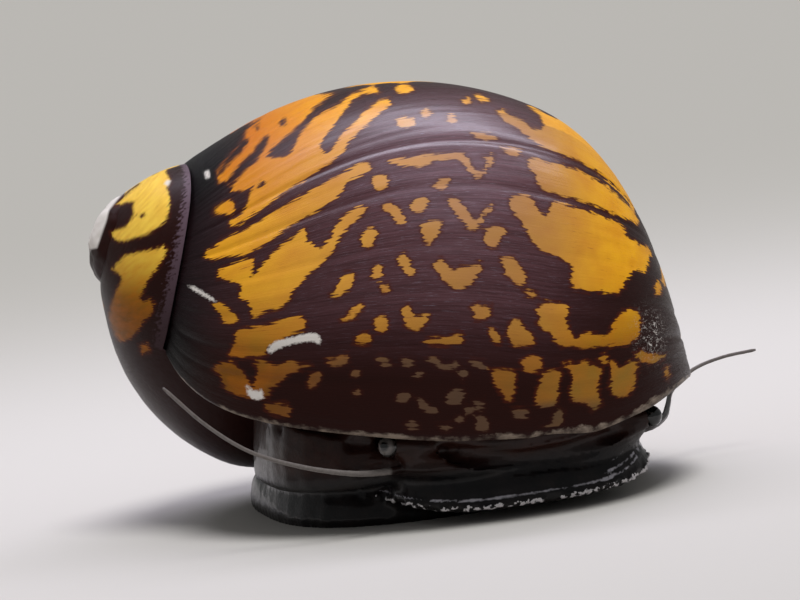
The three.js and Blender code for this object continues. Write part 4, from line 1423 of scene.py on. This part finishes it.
# Eye of a snail: a small clear lens over a black cup, wet and shiny, with a grey ring of painted highlight.
def eye_material():
    material = bpy.data.materials.new("Clear lens over a black cup")
    node = empty_tree(material)
    ring = node("Attribute", out="Fac", attribute_name="ring")
    colour = linear("#050505")
    for start, end, tint in ((0.35, 0.6, "#5d5754"), (0.75, 1.1, "#1a1614")):
        share = node("MapRange", {0: ring, 1: start, 2: end})
        colour = node("Mix", {0: share, 6: colour, 7: linear(tint)}, 2, data_type="RGBA")
    surface = node("BsdfPrincipled", {
        "Base Color": colour, "Roughness": 0.12, "IOR": 1.4, "Coat Weight": 0.5, "Coat Roughness": 0.03})
    node("OutputMaterial", {"Surface": surface})
    return material


class NERITE_OT_eyes(bpy.types.Operator):
    """Makes the two eyes, each a ball with a low lens"""
    bl_idname = "nerite.eyes"
    bl_label = "Eyes"

    def execute(self, context):
        material = eye_material()
        for side in EYES:
            bm = bmesh.new()
            bmesh.ops.create_uvsphere(bm, u_segments=48, v_segments=32, radius=EYE_RADIUS)
            sideways, forward, upward = EYE_GAZE
            gaze = Vector(unit(
                sideways * np.sign(EYES[side][0]) * ASIDE + forward * AHEAD + np.array([0, 0, upward])))
            for vertex in bm.verts:
                ahead = vertex.co.normalized().dot(gaze)
                vertex.co *= 1 - LENS_GROOVE * bell(ahead, *LENS_EDGE)
            off = np.array([math.acos(max(-1, min(1, v.co.normalized().dot(gaze)))) for v in bm.verts])
            middle = Vector(eye_place(side))
            set_vertices(bm, [metres(v.co + middle).tolist() for v in bm.verts])
            mesh = mesh_of(bm, f"eye_{side}_lens")
            store(mesh, {"ring": off * EYE_HIGHLIGHT_RING[side]})
            finish_piece(f"eye_{side}_lens", mesh, material, (f"eye_{side}",))
        return {"FINISHED"}


# Operculum: a limy plate under a horny brown film, with low spiral growth lines, slightly glossy.
def operculum_material(colours):
    material = bpy.data.materials.new("Limy plate under horn")
    node = empty_tree(material)
    line = node("Attribute", out="Fac", attribute_name="line")
    # Grain of about 0.2 mm.
    grain = node("TexNoise", {"Vector": node("TexCoord", out="Object"), "Scale": 5.0 / MM, "Detail": 4.0})
    share = node("MapRange", {0: grain, 1: 0.4, 2: 0.7, 4: 0.5})
    colour = colours.horn
    for amount, tint in ((line, "#a8836a"), (share, "#3b281f")):
        colour = node("Mix", {0: amount, 6: colour, 7: linear(tint)}, 2, data_type="RGBA")
    normal = node("Bump", {"Strength": 0.4, "Distance": 0.02 * MM, "Height": grain})
    surface = node("BsdfPrincipled", {
        "Base Color": colour, "Roughness": 0.38, "Normal": normal, "IOR": 1.53, "Coat Weight": 0.2})
    node("OutputMaterial", {"Surface": surface})
    return material


class NERITE_OT_operculum(bpy.types.Operator):
    """Makes the oval plate on the back of the foot, with its spiral growth lines"""
    bl_idname = "nerite.operculum"
    bl_label = "Operculum"

    def execute(self, context):
        mesh = slab_mesh(
            "operculum_plate", OPERCULUM_PROFILE, OPERCULUM_CENTRE, OPERCULUM_HALF, OPERCULUM_SQUARE, 160)
        bm = bmesh.new()
        bm.from_mesh(mesh)
        lines = []
        for vertex in bm.verts:
            point = layout(vertex.co[:]) - OPERCULUM_CENTRE
            side = point @ ASIDE / OPERCULUM_HALF[0] - SWIRL_ASIDE
            front = point @ AHEAD / OPERCULUM_HALF[1]
            swirl = math.log(math.hypot(side, front) + 0.05) * SWIRL_PITCH - math.atan2(front, side)
            lines.append(0.5 + 0.5 * math.sin(3 * swirl))
            if point[2] > OPERCULUM_TOP:
                vertex.co.z += LINE_DEPTH * (lines[-1] - 1) * MM
        bm.to_mesh(mesh)
        bm.free()
        store(mesh, {"line": np.array(lines)})
        finish_piece(
            "operculum_plate", mesh, operculum_material(context.scene.nerite_colours),
            ("operculum",))
        return {"FINISHED"}


# Floor: matt painted board, pale and even.
def floor_material(stage):
    material = bpy.data.materials.new("Matt painted board")
    node = empty_tree(material)
    surface = node("BsdfPrincipled", {"Base Color": stage.floor, "Roughness": 0.8})
    node("OutputMaterial", {"Surface": surface})
    return material


class NERITE_OT_stage(bpy.types.Operator):
    """Makes the floor, the soft light and the camera"""
    bl_idname = "nerite.stage"
    bl_label = "Stage"

    def execute(self, context):
        stage = context.scene.nerite_stage
        bm = bmesh.new()
        bmesh.ops.create_grid(bm, x_segments=2, y_segments=2, size=FLOOR_HALF * MM)
        floor = placed("floor", mesh_of(bm, "floor"))
        floor.data.materials.append(floor_material(stage))

        context.scene.view_settings.view_transform = "Standard"
        world = bpy.data.worlds.new("Room")
        node = empty_tree(world)
        room = node("Background", {"Color": (1, 1, 1, 1), "Strength": stage.world})
        node("OutputWorld", {"Surface": room})
        context.scene.world = world

        key = placed("Key", bpy.data.lights.new("Key", "SUN"))
        key.data.energy = stage.key
        key.data.angle = math.radians(KEY_WIDTH)
        key.visible_glossy = False
        key.rotation_euler = Vector(KEY_FROM).to_track_quat("Z", "Y").to_euler()
        for name, place, sides, colour in SOFTBOXES:
            box = placed(name, bpy.data.lights.new(name, "AREA"))
            box.data.shape = "RECTANGLE"
            box.data.size, box.data.size_y = (side * MM for side in sides)
            box.data.energy = getattr(stage, name.lower())
            box.data.color = linear(colour)[:3]
            box.location = metre_vector(place)
            from_target = box.location - metre_vector(CAMERA_TARGET)
            box.rotation_euler = from_target.to_track_quat("Z", "Y").to_euler()

        lens = bpy.data.cameras.new("Camera")
        lens.sensor_fit = "HORIZONTAL"
        lens.sensor_width = SENSOR_WIDTH
        lens.lens = FOCAL_PIXELS * SENSOR_WIDTH / (2 * PICTURE_MIDDLE[0])
        lens.clip_start, lens.clip_end = 0.01, 50
        camera = placed("Camera", lens)
        axes = np.stack([CAMERA_RIGHT, CAMERA_UP, -CAMERA_LOOK], axis=1)
        camera.matrix_world = Matrix.Translation(metre_vector(CAMERA_EYE)) @ Matrix(axes.tolist()).to_4x4()
        context.scene.camera = camera
        return {"FINISHED"}


class NERITE_PT_sidebar(bpy.types.Panel):
    """Lists the snail's sizes, colours and makers"""
    bl_label = "Nerite snail"
    bl_idname = "NERITE_PT_sidebar"
    bl_space_type = "VIEW_3D"
    bl_region_type = "UI"
    bl_category = "Nerite snail"

    def draw(self, context):
        for name in GROUPS:
            group = getattr(context.scene, name)
            box = self.layout.box()
            for key in group.__annotations__:
                box.prop(group, key)
        for maker in MAKERS:
            self.layout.operator(maker.bl_idname)


GROUPS = {"nerite_sizes": NeriteSizes, "nerite_colours": NeriteColours, "nerite_stage": NeriteStage}
MAKERS = (NERITE_OT_stage, NERITE_OT_shell, NERITE_OT_flesh, NERITE_OT_eyes, NERITE_OT_operculum)
CLASSES = (*GROUPS.values(), *MAKERS, NERITE_PT_sidebar)


def register():
    for kind in CLASSES:
        bpy.utils.register_class(kind)
    for name, group in GROUPS.items():
        setattr(bpy.types.Scene, name, PointerProperty(type=group))


def unregister():
    for name in GROUPS:
        delattr(bpy.types.Scene, name)
    for kind in reversed(CLASSES):
        bpy.utils.unregister_class(kind)


def main():
    register()
    bpy.ops.nerite.stage()
    bpy.ops.nerite.shell()
    bpy.ops.nerite.flesh()
    bpy.ops.nerite.eyes()
    bpy.ops.nerite.operculum()


if __name__ == "__main__":
    main()
